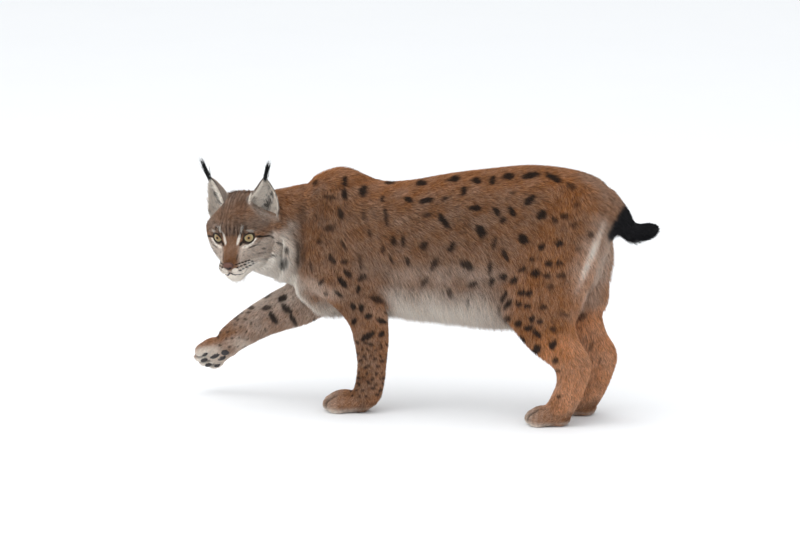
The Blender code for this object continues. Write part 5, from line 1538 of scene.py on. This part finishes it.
def make_coat(settings):
    """Tufts over the whole skin but its bare places, one joined mesh for each part."""
    skin = bpy.data.objects.get("skin")
    if skin is None:
        raise RuntimeError("make the skin before its coat")
    points, normals, tris = mesh_arrays(skin)
    points = points + MIDDLE
    places, shares = survey(points)
    spacing = coat_sizes(places, shares)[4] * MM
    chance = np.random.default_rng(COAT_SEED)
    chosen, corners = strew(points, tris, settings.fullness / spacing**2, chance)
    roots = blend(points, tris, chosen, corners)
    facing = unit(blend(normals, tris, chosen, corners))
    keep = ~bare_share(roots)
    roots, facing = roots[keep], facing[keep]
    places, shares = survey(roots)
    length, _, reach, width, _ = coat_sizes(places, shares) * MM
    trim = settings.length * (1 - 0.45 * by_ears(from_head(roots)))
    length, reach = length * trim, reach * trim
    lies = coat_lie(roots, places, shares)
    lies = unit(lies - facing * (lies * facing).sum(1)[:, None])
    lies = unit(lies + ripple(roots, 0.05, 41)[:, None] * np.cross(facing, lies) * 0.22)
    names = piece_names(roots, shares)
    under = belly_share(places) * shares[:, NAMES.index("torso")]
    droop = 0.10 + 0.30 * under
    material = bpy.data.materials["coat"]
    best = shares.argmax(1)
    on = [best == i for i in range(len(NAMES))]
    along = np.select(on, [places[n][0] for n in NAMES])
    turn = np.select(on, [np.arctan2(places[n][1], places[n][2]) / (2 * math.pi) for n in NAMES])
    paw = np.isin(best, [NAMES.index(n) for n in PAWS])
    unwrap = np.column_stack([turn, along * np.where(paw, 0.3, 1.0) + paw])
    for name in sorted(set(names)):
        own = names == name
        if own.sum() > MOST_TUFTS:
            raise RuntimeError(f"{name} has {own.sum()} tufts, too many for one piece")
        made = tuft_piece(
            name, roots[own], facing[own], lies[own], (length[own], reach[own], width[own]),
            skin_tones, fit_uv(unwrap[own]), chance, droop[own],
        )
        finish_piece(made, material)


IRIS_EDGE = (0.03, 0.022, 0.012)
EYE_WHITE = (0.16, 0.12, 0.09)
PUPIL = (0.002, 0.002, 0.002)


def make_eyes(settings):
    """Eyeballs as polar grids round the way of the gaze, with a low dome for the cornea, and a dark rim
    round each opening."""
    iris = settings.iris_radius / MM / EYE_RADIUS
    made, shader, tools = new_material(
        "eyeball", Roughness=0.30, Specular_IOR_Level=0.1, Coat_Weight=0.35, Coat_Roughness=0.04,
        Coat_IOR=1.38,
    )
    plug, maths, spread, mix, _, attribute, noise, _ = tools
    gaze = attribute("gaze")
    joined = made.node_tree.nodes.new("ShaderNodeCombineXYZ")
    for i in range(2):
        plug(joined.inputs[i], gaze[i])
    plug(joined.inputs[2], maths("MULTIPLY", gaze[2], 0.6))
    fibres = noise(9.0, 4.0, joined.outputs[0], 0.7)
    reach = gaze[2]
    colour = mix(spread(reach, 0.25, 0.95), tuple(settings.iris_inner), tuple(settings.iris))
    colour = mix(spread(fibres, 0.35, 0.7, 0.0, 0.5), colour, tuple(c * 0.45 for c in settings.iris))
    colour = mix(spread(reach, 0.82, 1.0), colour, IRIS_EDGE)
    colour = mix(spread(reach, 1.0, 1.25), colour, EYE_WHITE)
    pupil = settings.pupil_radius / settings.iris_radius
    colour = mix(spread(reach, pupil * 1.15, pupil * 0.85), colour, PUPIL)
    plug(shader.inputs["Base Color"], colour)
    rim_look = mottled_material(
        "lid_rim", 700.0, shades(settings.rim, 1.0, 2.2), (1600.0, 2.0, 0.3, 0.0003),
        Roughness=0.55, Specular_IOR_Level=0.2,
    )
    a, e = math.radians(VIEW_AZIMUTH), math.radians(VIEW_ELEVATION)
    camera = np.array([math.sin(a) * math.cos(e), -math.cos(a) * math.cos(e), math.sin(e)]) @ HEAD_AXES
    for side, label in ((1, "left"), (-1, "right")):
        middle, way, _, _ = eye_axes(side)
        gaze_way = unit(way + 0.42 * camera)
        right = unit(np.cross(gaze_way, (0, 0, 1.0)))
        above = np.cross(right, gaze_way)
        tilt = np.radians(np.concatenate([np.linspace(0.6, 60, 44), np.linspace(64, 176, 20)]))[:, None]
        spin = np.linspace(0, 2 * math.pi, 64, endpoint=False)
        share = np.sin(tilt) / iris
        radius = EYE_RADIUS * (1 + 0.055 * np.clip(1 - share**2, 0, 1) ** 2 * (tilt < math.pi / 2))
        local = middle + radius[..., None] * (
            np.cos(tilt)[..., None] * gaze_way
            + np.sin(tilt)[..., None] * (np.cos(spin)[:, None] * right + np.sin(spin)[:, None] * above)
        )
        ball = tube("eyeball_" + label, in_head(local))
        spun = np.stack([np.cos(spin) + 0 * tilt, np.sin(spin) + 0 * tilt, share + 0 * spin], -1)
        spun = spun.reshape(-1, 3)
        spun[np.repeat(tilt.ravel() > math.pi / 2, len(spin)), 2] = 9.0
        set_attribute(ball, "gaze", np.vstack([spun, [[1.0, 0, 0.0], [1.0, 0, 9.0]]]))
        finish_piece(ball, made, ["eye_" + label])
        finish_piece(eye_rim("eye_rim_" + label, side), rim_look)


# The lid's margin in section: how far it reaches into and out of the opening, and its radius there.
RIM_SECTION = (
    (0.83, 15.1), (0.90, 16.4), (0.99, 17.6), (1.10, 18.1),
    (1.18, 17.9), (1.26, 16.8), (1.05, 14.6), (0.90, 14.0),
)


def eye_rim(name, side):
    """A ring that follows the almond: at each turn round it, the section's shares of the almond's edge are
    laid on balls of the section's radii."""
    middle, way, across, rise = eye_axes(side)
    turn = np.linspace(0, 2 * math.pi, 72, endpoint=False)[:, None]
    share, radius = (np.array(column) for column in zip(*RIM_SECTION))
    x = LID_HALF_WIDTH * np.cos(turn)
    y = LID_HALF_HEIGHT * np.sin(turn) * (1 - 0.25 * np.cos(turn) ** 2)
    grow = 1 + (share - 1) * (1 - 0.45 * np.abs(np.cos(turn)))
    x, y = x * grow, y * grow
    hold = np.minimum(1.0, 0.96 * radius / np.hypot(x, y))
    x, y = x * hold, y * hold
    deep = np.sqrt(radius**2 - x**2 - y**2)
    local = middle + x[..., None] * across + y[..., None] * rise + deep[..., None] * way
    made = put_mesh(name, in_head(local.reshape(-1, 3)), grid_faces(*local.shape[:2], wrap_rows=True))
    face_out(made)
    return made


def make_nose(settings):
    """The nose leather: a ball squared off above and narrowed below, with two comma nostrils and a groove
    down its middle pressed in, and the dark line of the lips."""
    tilt = np.radians(np.linspace(1.5, 176, 72))[:, None]
    spin = np.linspace(0, 2 * math.pi, 96, endpoint=False)
    ahead = np.cos(tilt) + 0 * spin
    left, up = np.sin(tilt) * np.cos(spin), np.sin(tilt) * np.sin(spin)
    left = left * (1 - 0.55 * np.clip(-up, 0, 1)) * (1 + 0.24 * np.clip(up, 0, 1))
    l_mm, u_mm = left * NOSE_RADII[1], up * NOSE_RADII[2]
    side = np.abs(l_mm)
    hole = np.exp(-(((side - 5.6) / 2.4) ** 2) - ((u_mm + 3.0) / 2.1) ** 2)
    slit = np.exp(-(((side - 9.0) / 2.6) ** 2) - ((u_mm + 3.8 - 0.25 * (side - 8)) / 1.1) ** 2) * 0.8
    groove = np.exp(-((side / 0.7) ** 2)) * smooth(1.0, -3.0, u_mm)
    dent = (4.2 * np.maximum(hole, slit) + 1.0 * groove) * (ahead > 0)
    f_mm = ahead * NOSE_RADII[0] - dent
    c, s = math.cos(math.radians(NOSE_PITCH)), math.sin(math.radians(NOSE_PITCH))
    local = np.stack([f_mm * c + u_mm * s, l_mm, u_mm * c - f_mm * s], -1) + NOSE_AT
    pad = tube("nose_leather", in_head(local))
    # Painted shade in the nostrils and the groove, whose dents are shallow; the leather is also darker at its
    # rim and towards the bottom.
    dark_and_nostril_shade = np.maximum(hole, slit) + 0.6 * groove + 0.5 * smooth(0.82, 1.0, np.hypot(left, up))
    dark_and_nostril_shade = np.clip(dark_and_nostril_shade + 0.85 * smooth(-0.5, -4.5, u_mm), 0, 1)
    set_attribute(pad, "skin", np.vstack([np.stack([dark_and_nostril_shade] * 3, -1).reshape(-1, 3), np.zeros((2, 3))]))
    look, shader, tools = new_material("nose_skin", Roughness=0.48, Specular_IOR_Level=0.25, Coat_Weight=0.05)
    plug, _, _, mix, _, attribute, noise, bump = tools
    colour = mix(noise(420.0, 4.0), *shades(settings.nose, 0.7, 1.3))
    colour = mix(attribute("skin")[0], colour, tuple(settings.lip))
    plug(shader.inputs["Base Color"], colour)
    pebbles = look.node_tree.nodes.new("ShaderNodeTexVoronoi")
    pebbles.inputs["Scale"].default_value = 1100.0
    place = look.node_tree.nodes.new("ShaderNodeTexCoord")
    look.node_tree.links.new(place.outputs["Object"], pebbles.inputs["Vector"])
    plug(shader.inputs["Normal"], bump(pebbles.outputs[0], 0.35, 0.0004))
    finish_piece(pad, look, ["nose"])
    make_lips(settings)


LIP_RADIUS = 1.8


def surface_tree(obj):
    shape = bmesh.new()
    shape.from_mesh(obj.data)
    tree = BVHTree.FromBMesh(shape)
    shape.free()
    return tree


def make_lips(settings):
    """A dark cord of lip, round in section and thinner at the corners, laid in the pressed line of the
    mouth."""
    tree = surface_tree(bpy.data.objects["skin"])
    line = in_head(mouth_line())[3:-3] - MIDDLE
    snapped = np.array([tree.find_nearest(Vector(p))[0] for p in line]) + MIDDLE
    way = unit(np.gradient(snapped, axis=0))
    side = unit(np.cross(way, HEAD_AXES[:, 2]))
    up = np.cross(side, way)
    thick = LIP_RADIUS * MM * np.sin(np.linspace(0.12, math.pi - 0.12, len(line))) ** 0.4
    turn = np.linspace(0, 2 * math.pi, 10, endpoint=False)
    rings = snapped[:, None] + thick[:, None, None] * (
        np.cos(turn)[:, None] * side[:, None] + np.sin(turn)[:, None] * up[:, None]
    )
    lips = tube("lips", rings)
    look = mottled_material(
        "lip_skin", 500.0, shades(settings.lip, 1.0, 2.0), (1500.0, 2.0, 0.3, 0.0003), Roughness=0.45
    )
    finish_piece(lips, look)


def ear_grid(side, rows=38, columns=26):
    """The ear as a tube with a C-shaped section: an outer arc that narrows to the tip, and back inside it
    by the wall. Gives the points, and for each its share of the height, its place round the arc from the
    inner to the outer rim, and whether it is inside."""
    root, tip, across, opening = ear_frame(side)
    t = np.linspace(EAR_LOWEST, 0.985, rows)[:, None]
    high = np.maximum(t, 0.0)
    width, depth = ear_size(t)
    wall = np.minimum(EAR_WALL * (1 - 0.45 * high), 0.4 * np.minimum(width, depth))
    round_by = np.linspace(-1, 1, columns)
    place = np.concatenate([round_by, round_by[::-1]])
    turn = np.radians(106 * place)
    inside = np.repeat([0.0, 1.0], columns)
    inward = wall * inside * (1 - 0.35 * np.abs(place) ** 14)
    bow = 4 * high * (1 - high) * EAR_BOW[side]
    middle = root + t[..., None] * (tip - root) + bow[..., None] * across
    sideways = ((width - inward) * np.sin(turn))[..., None] * across
    local = middle + sideways - ((depth - inward) * np.cos(turn))[..., None] * opening
    return local, np.stack([t + 0 * turn, place + 0 * t, inside + 0 * t], -1)


def make_ears():
    """The skins of both ears, their hair and the tufts at their tips."""
    material = bpy.data.materials["coat"]
    chance = np.random.default_rng(COAT_SEED + 1)
    for side, label in ((1, "left"), (-1, "right")):
        local, fields = ear_grid(side)
        shell = tube("ear_skin_" + label, in_head(local))
        fields = np.vstack([fields.reshape(-1, 3), fields[0].mean(0), fields[-1].mean(0)])
        points, normals, tris = mesh_arrays(shell)
        tones = ear_tones(fields)
        set_attribute(shell, "tone", np.column_stack([tones["mark"], tones["pale"], tones["rust"]]))
        # Half way along, so the ear's skin gets a little of the painted root shade.
        half = np.full(len(points), 0.5)
        set_attribute(shell, "hair", np.column_stack([half, half, tones["black"]]))
        finish_piece(shell, material, ["ear_" + label])
        ear_coat("coat_ear_" + label, side, points, normals, tris, fields, chance, material)
        ear_tuft("coat_ear_tuft_" + label, side, chance, material)


def ear_tones(fields):
    """Inside pale, with dark patches towards the outer rim; outside grey-brown with a pale middle and black
    edges and tip."""
    high, round_by, inside = fields.T
    mottle = ripple(fields * (6, 4, 1), 1.3, 51)
    patch = smooth(0.24, 0.10, np.abs(round_by - 0.20 - 0.30 * high)) * smooth(-0.45, 0.15, mottle)
    patch = np.maximum(patch, 0.45 * smooth(0.1, 0.6, mottle) * smooth(0.15, -0.1, high))
    patch = patch * smooth(0.75, 0.55, high)
    edge = smooth(0.86, 0.98, np.abs(round_by)) * smooth(0.35, 0.7, high) * (1 - inside)
    tip = smooth(0.86, 0.98, high)
    mark = inside * patch * 0.95 + (1 - inside) * (1 - smooth(0.75, 0.35, np.abs(round_by))) * 0.60
    pale = inside * (1.0 - 0.12 * smooth(0.0, 0.9, round_by)) + (1 - inside) * 0.45
    rust = 0.18 + 0 * high
    return {"mark": np.clip(mark, 0, 1), "pale": pale, "rust": rust, "black": np.clip(edge * 0.9 + tip, 0, 1)}


def ear_coat(name, side, points, normals, tris, fields, chance, material):
    """Short hair towards the tip outside, and long loose hair that leans across the cup inside."""
    root, tip, across, opening = ear_frame(side)
    per_area = np.where(fields[:, 2] > 0.5, 0.30, 0.34) / MM**2
    chosen, corners = strew(points, tris, per_area, chance)
    at = blend(points, tris, chosen, corners)
    facing = unit(blend(normals, tris, chosen, corners))
    place = blend(fields, tris, chosen, corners)
    keep = place[:, 0] > np.where(place[:, 2] > 0.5, EAR_LOWEST, -0.1)
    at, facing, place = at[keep], facing[keep], place[keep]
    inside = place[:, 2] > 0.5
    upward = unit((tip - root) @ HEAD_AXES.T)
    outward = across @ HEAD_AXES.T
    lean = np.where(place[:, 1] < 0.1, 0.75, -0.25)[:, None]
    lies = np.where(inside[:, None], upward * 0.8 + outward * lean + 0.3 * (opening @ HEAD_AXES.T), upward)
    medial = smooth(0.2, -0.8, place[:, 1]) * smooth(0.9, 0.5, place[:, 0])
    length = np.where(inside, 14 + 11 * medial, 7.0) * MM
    length = length * (1 - 0.45 * smooth(0.6, 1.0, place[:, 0]))
    reach = np.where(inside, 2.6 + 4.5 * medial, 1.7) * MM
    width = np.full(len(at), 1.2 * MM)
    tones = ear_tones(place)
    unwrap = fit_uv(np.column_stack([place[:, 1] * 0.5 + inside, place[:, 0]]))
    sizes = (length, reach, width)
    made = tuft_piece(name, at, facing, lies, sizes, lambda points: tones, unwrap, chance, 0.0, 0.22)
    finish_piece(made, material)


EAR_TUFT_HAIRS = 150


def ear_tuft(name, side, chance, material):
    """Black hairs from the last part of the ear's tip, drawn together to a point."""
    root, tip, across, opening = ear_frame(side)
    back = np.sqrt(chance.uniform(0.0, 1.0, EAR_TUFT_HAIRS))
    spread = chance.normal(size=(EAR_TUFT_HAIRS, 2)) * (0.8 + 3.0 * back[:, None] * (0.6, 0.35))
    at = tip - unit(tip - root) * (back * 13)[:, None] + spread[:, :1] * across + spread[:, 1:] * opening
    end = np.array(EAR_TUFT_END[side], float)
    aim = end + chance.normal(size=(EAR_TUFT_HAIRS, 3)) * 2.2 - at
    lies = unit(aim) @ HEAD_AXES.T
    facing = unit(np.cross(lies, chance.normal(size=lies.shape)))
    length = np.linalg.norm(aim, axis=1) * MM * chance.uniform(0.62, 0.98, EAR_TUFT_HAIRS)
    flat = np.zeros(EAR_TUFT_HAIRS)
    tones = {"mark": flat, "pale": flat, "rust": flat, "black": flat + 1}
    sizes = (length, length * 0.02, flat + 1.5 * MM)
    unwrap = fit_uv(spread)
    made = tuft_piece(name, in_head(at), facing, lies, sizes, lambda points: tones, unwrap, chance, 0.0, 0.02)
    finish_piece(made, material)


# Whiskers' roots on the muzzle: forward, left, up, in rows from top to bottom, and how many to a row.
WHISKER_ROOTS = (
    ((98, 16, -38), (80, 31, -36)),
    ((100, 17, -43), (80, 33, -43)),
    ((100, 18, -48), (80, 33, -50)),
)
WHISKERS_IN_ROW = 4
WHISKER_COLOURS = ((0.72, 0.68, 0.62), (0.88, 0.85, 0.80))


def make_whiskers(settings):
    """Long tapered bristles that arc out, back and down from the muzzle, and a few over each eye."""
    chance = np.random.default_rng(COAT_SEED + 2)
    tree = surface_tree(bpy.data.objects["skin"])
    starts, ways, lengths = [], [], []
    for side in (1, -1):
        for first, last in WHISKER_ROOTS:
            for share in np.linspace(0, 1, WHISKERS_IN_ROW):
                place = np.array(first) * (1 - share) + np.array(last) * share
                starts.append(place * (1, side, 1))
                ways.append(np.array([0.30 - 0.75 * share, side * 1.0, chance.uniform(-0.35, 0.05)]))
                lengths.append(settings.whisker_length * chance.uniform(0.6, 1.0))
        for shift in (0.0, 5.0):
            starts.append(np.array([46, side * (24 + shift), 32]))
            ways.append(np.array([0.35, side * 0.35, 1.0]))
            lengths.append(settings.whisker_length * 0.5 * chance.uniform(0.8, 1.0))
    starts, ways, lengths = in_head(starts), unit(np.array(ways)) @ HEAD_AXES.T, np.array(lengths)
    starts = np.array([tree.find_nearest(Vector(p - MIDDLE))[0] for p in starts]) + MIDDLE
    t = np.linspace(0, 1, 9)[:, None, None]
    fall = np.array([0, 0, -1.0]) * 0.22 + np.array([-1.0, 0, 0]) @ HEAD_AXES.T * 0.25
    middle = starts + (ways * t + fall * t * t) * lengths[:, None] - ways * 0.002
    side = unit(np.cross(ways, (0.3, 0.2, 1.0)))
    up = np.cross(ways, side)
    thick = settings.whisker_thickness / 2 * (1 - 0.86 * t)
    turn = np.linspace(0, 2 * math.pi, 5, endpoint=False)[:, None]
    pieces = [
        tube("whisker", middle[:, i, None] + thick * (np.cos(turn) * side[i] + np.sin(turn) * up[i]))
        for i in range(len(starts))
    ]
    made = join("whiskers", pieces)
    look = mottled_material("whisker", 60.0, WHISKER_COLOURS, Roughness=0.35)
    finish_piece(made, look)


def make_pads(settings):
    """The bare pads of the lifted paw, each a ball flattened below, with a pebbled skin."""
    lift, turn, size = paw_place("fore_paw_right")
    shapes = []
    for row in PAD_BLOBS:
        x, y, z, *radii = np.array(row) * size
        shapes.append(ellipsoid("pad", lift + turn @ (x, y, z), np.array(radii), turn, 32, 20))
    made = join("paw_pads", shapes)
    look = mottled_material(
        "pad_skin", 260.0, shades(settings.pad, 1.0, 2.4), (900.0, 3.0, 0.5, 0.0006),
        Roughness=0.55, Specular_IOR_Level=0.4,
    )
    finish_piece(made, look)


FLOOR_REACH = 40.0


def make_stage(settings):
    """A pale floor, a broad soft light overhead, a softer one from the front, and the camera."""
    corners = np.array([(-1, -1, 0), (1, -1, 0), (1, 1, 0), (-1, 1, 0)]) * FLOOR_REACH
    floor = put_mesh("floor", corners, np.array([(0, 1, 2, 3)]))
    colours = tuple(settings.floor), tuple(min(1.0, c * 1.02) for c in settings.floor)
    look = mottled_material("pale_floor", 3.0, colours, Roughness=0.9, Specular_IOR_Level=0.1)
    floor.data.materials.append(look)
    for name, place, size, power in (
        ("light_above", (-0.6, -1.2, 4.2), 4.5, settings.key_power),
        ("light_front", (-3.6, -3.6, 2.4), 3.0, settings.fill_power),
    ):
        lamp = bpy.data.lights.new(name, "AREA")
        lamp.shape, lamp.size, lamp.energy = "DISK", size, power
        holder = bpy.data.objects.new(name, lamp)
        holder.location = place
        holder.rotation_euler = (Vector((0, 0, 0.3)) - Vector(place)).to_track_quat("-Z", "Y").to_euler()
        bpy.context.scene.collection.objects.link(holder)
    world = bpy.data.worlds.new("pale_sky")
    world.use_nodes = True
    world.node_tree.nodes["Background"].inputs["Color"].default_value = (0.97, 0.985, 1.0, 1.0)
    world.node_tree.nodes["Background"].inputs["Strength"].default_value = settings.sky
    bpy.context.scene.world = world
    bpy.context.scene.view_settings.view_transform = "Standard"
    make_camera(settings)


def make_camera(settings):
    """The camera looks at the point that the picture's middle shows, from its place round the animal."""
    a, e = math.radians(VIEW_AZIMUTH), math.radians(VIEW_ELEVATION)
    right = np.array([math.cos(a), math.sin(a), 0])
    up = np.array([-math.sin(a) * math.sin(e), math.cos(a) * math.sin(e), math.cos(e)])
    away = np.array([math.sin(a) * math.cos(e), -math.cos(a) * math.cos(e), math.sin(e)])
    across = (PICTURE_MIDDLE[0] - PIXEL_ORIGIN[0]) * PIXEL
    above = (PIXEL_ORIGIN[1] - PICTURE_MIDDLE[1]) * PIXEL
    target = right * across + up * above - MIDDLE
    camera = bpy.data.cameras.new("camera")
    camera.sensor_width = 36.0
    camera.lens = camera.sensor_width * settings.camera_distance / (800 * PIXEL)
    camera.clip_end = 200.0
    holder = bpy.data.objects.new("camera", camera)
    holder.location = Vector(target + away * settings.camera_distance)
    holder.rotation_euler = (-Vector(away)).to_track_quat("-Z", "Y").to_euler()
    bpy.context.scene.collection.objects.link(holder)
    bpy.context.scene.camera = holder


def tint(name, about, default):
    return FloatVectorProperty(
        name=name, description=about, subtype="COLOR", size=3, min=0, max=1, default=default
    )


def amount(name, about, default, unit_name="NONE"):
    return FloatProperty(name=name, description=about, default=default, unit=unit_name, precision=4)


class LynxCoatSettings(bpy.types.PropertyGroup):
    length: amount("Length", "Length of the hair, as a share of the winter coat's", 1.0)
    fullness: amount("Fullness", "How many tufts grow, as a share of the full coat", 1.0)
    ground: tint("Ground", "Grey-brown of the flanks", (0.212, 0.101, 0.049))
    rufous: tint("Rufous", "Reddish brown of the back and legs", (0.372, 0.142, 0.044))
    pale: tint("Pale", "Cream of the belly, throat and cheeks", (0.900, 0.830, 0.745))
    frost: tint("Frost", "Light tips of some hairs", (0.580, 0.370, 0.220))
    # Also the colour of the painted shade where the neck meets the shoulder and between the toes.
    spot: tint("Spot", "Brown-black of the spots", (0.018, 0.011, 0.008))
    black: tint("Black", "Black of the tail's end and the ear tufts", (0.008, 0.008, 0.010))


class LynxFaceSettings(bpy.types.PropertyGroup):
    iris: tint("Iris", "Pale yellow of the iris", (0.450, 0.385, 0.215))
    iris_inner: tint("Inner iris", "Amber round the pupil", (0.290, 0.160, 0.060))
    rim: tint("Lid rim", "Dark skin round the eyes", (0.020, 0.013, 0.010))
    nose: tint("Nose", "Brown-pink of the nose leather", (0.115, 0.050, 0.035))
    # Also laid as painted shade in the nostrils and the groove of the nose leather.
    lip: tint("Lips", "Dark skin of the lips and nostrils", (0.018, 0.011, 0.010))
    pad: tint("Pads", "Dark skin of the paw pads", (0.018, 0.015, 0.015))
    iris_radius: amount("Iris radius", "Radius of the iris", 0.0108, "LENGTH")
    pupil_radius: amount("Pupil radius", "Radius of the pupil", 0.0026, "LENGTH")
    whisker_length: amount("Whiskers", "Length of the longest whisker", 0.062, "LENGTH")
    whisker_thickness: amount("Whisker thickness", "Thickness at the root", 0.0005, "LENGTH")


class LynxStageSettings(bpy.types.PropertyGroup):
    floor: tint("Floor", "Colour of the plain floor", (0.90, 0.91, 0.92))
    key_power: amount("Overhead light", "Power of the light above", 95.0, "POWER")
    fill_power: amount("Front light", "Power of the light in front", 28.0, "POWER")
    sky: amount("Sky", "Strength of the even light all round", 0.98)
    camera_distance: amount("Camera distance", "From the animal to the camera", 14.0, "LENGTH")


class LYNX_OT_skin(bpy.types.Operator):
    """Make the one skin that the coat grows from"""

    bl_idname = "lynx.skin"
    bl_label = "Skin"

    def execute(self, context):
        make_skin(context.scene.lynx_coat)
        return {"FINISHED"}


class LYNX_OT_coat(bpy.types.Operator):
    """Grow the coat's tufts over the skin"""

    bl_idname = "lynx.coat"
    bl_label = "Coat"

    def execute(self, context):
        make_coat(context.scene.lynx_coat)
        return {"FINISHED"}


class LYNX_OT_ears(bpy.types.Operator):
    """Make the ears with their inner hair and black tufts"""

    bl_idname = "lynx.ears"
    bl_label = "Ears"

    def execute(self, context):
        make_ears()
        return {"FINISHED"}


class LYNX_OT_eyes(bpy.types.Operator):
    """Make the eyeballs and the rims of the lids"""

    bl_idname = "lynx.eyes"
    bl_label = "Eyes"

    def execute(self, context):
        make_eyes(context.scene.lynx_face)
        return {"FINISHED"}


class LYNX_OT_nose(bpy.types.Operator):
    """Make the nose leather and the lips"""

    bl_idname = "lynx.nose"
    bl_label = "Nose and lips"

    def execute(self, context):
        make_nose(context.scene.lynx_face)
        return {"FINISHED"}


class LYNX_OT_whiskers(bpy.types.Operator):
    """Make the whiskers"""

    bl_idname = "lynx.whiskers"
    bl_label = "Whiskers"

    def execute(self, context):
        make_whiskers(context.scene.lynx_face)
        return {"FINISHED"}


class LYNX_OT_pads(bpy.types.Operator):
    """Make the bare pads of the lifted paw"""

    bl_idname = "lynx.pads"
    bl_label = "Paw pads"

    def execute(self, context):
        make_pads(context.scene.lynx_face)
        return {"FINISHED"}


class LYNX_OT_stage(bpy.types.Operator):
    """Make the floor, the lights and the camera"""

    bl_idname = "lynx.stage"
    bl_label = "Stage"

    def execute(self, context):
        make_stage(context.scene.lynx_stage)
        return {"FINISHED"}


STEPS = ("skin", "coat", "ears", "eyes", "nose", "whiskers", "pads", "stage")


class LYNX_PT_panel(bpy.types.Panel):
    """The steps of the lynx and what can be changed in them"""

    bl_idname = "LYNX_PT_panel"
    bl_label = "Lynx"
    bl_space_type = "VIEW_3D"
    bl_region_type = "UI"
    bl_category = "Lynx"

    def draw(self, context):
        for group in (context.scene.lynx_coat, context.scene.lynx_face, context.scene.lynx_stage):
            box = self.layout.box()
            for name in group.__annotations__:
                box.prop(group, name)
        for step in STEPS:
            self.layout.operator("lynx." + step)


SETTINGS = {"lynx_coat": LynxCoatSettings, "lynx_face": LynxFaceSettings, "lynx_stage": LynxStageSettings}
CLASSES = (
    *SETTINGS.values(), LYNX_OT_skin, LYNX_OT_coat, LYNX_OT_ears, LYNX_OT_eyes, LYNX_OT_nose,
    LYNX_OT_whiskers, LYNX_OT_pads, LYNX_OT_stage, LYNX_PT_panel,
)


def register():
    for made in CLASSES:
        bpy.utils.register_class(made)
    for name, group in SETTINGS.items():
        setattr(bpy.types.Scene, name, PointerProperty(type=group))


def unregister():
    for name in SETTINGS:
        delattr(bpy.types.Scene, name)
    for made in reversed(CLASSES):
        bpy.utils.unregister_class(made)


def main():
    register()
    for step in STEPS:
        getattr(bpy.ops.lynx, step)()


if __name__ == "__main__":
    main()
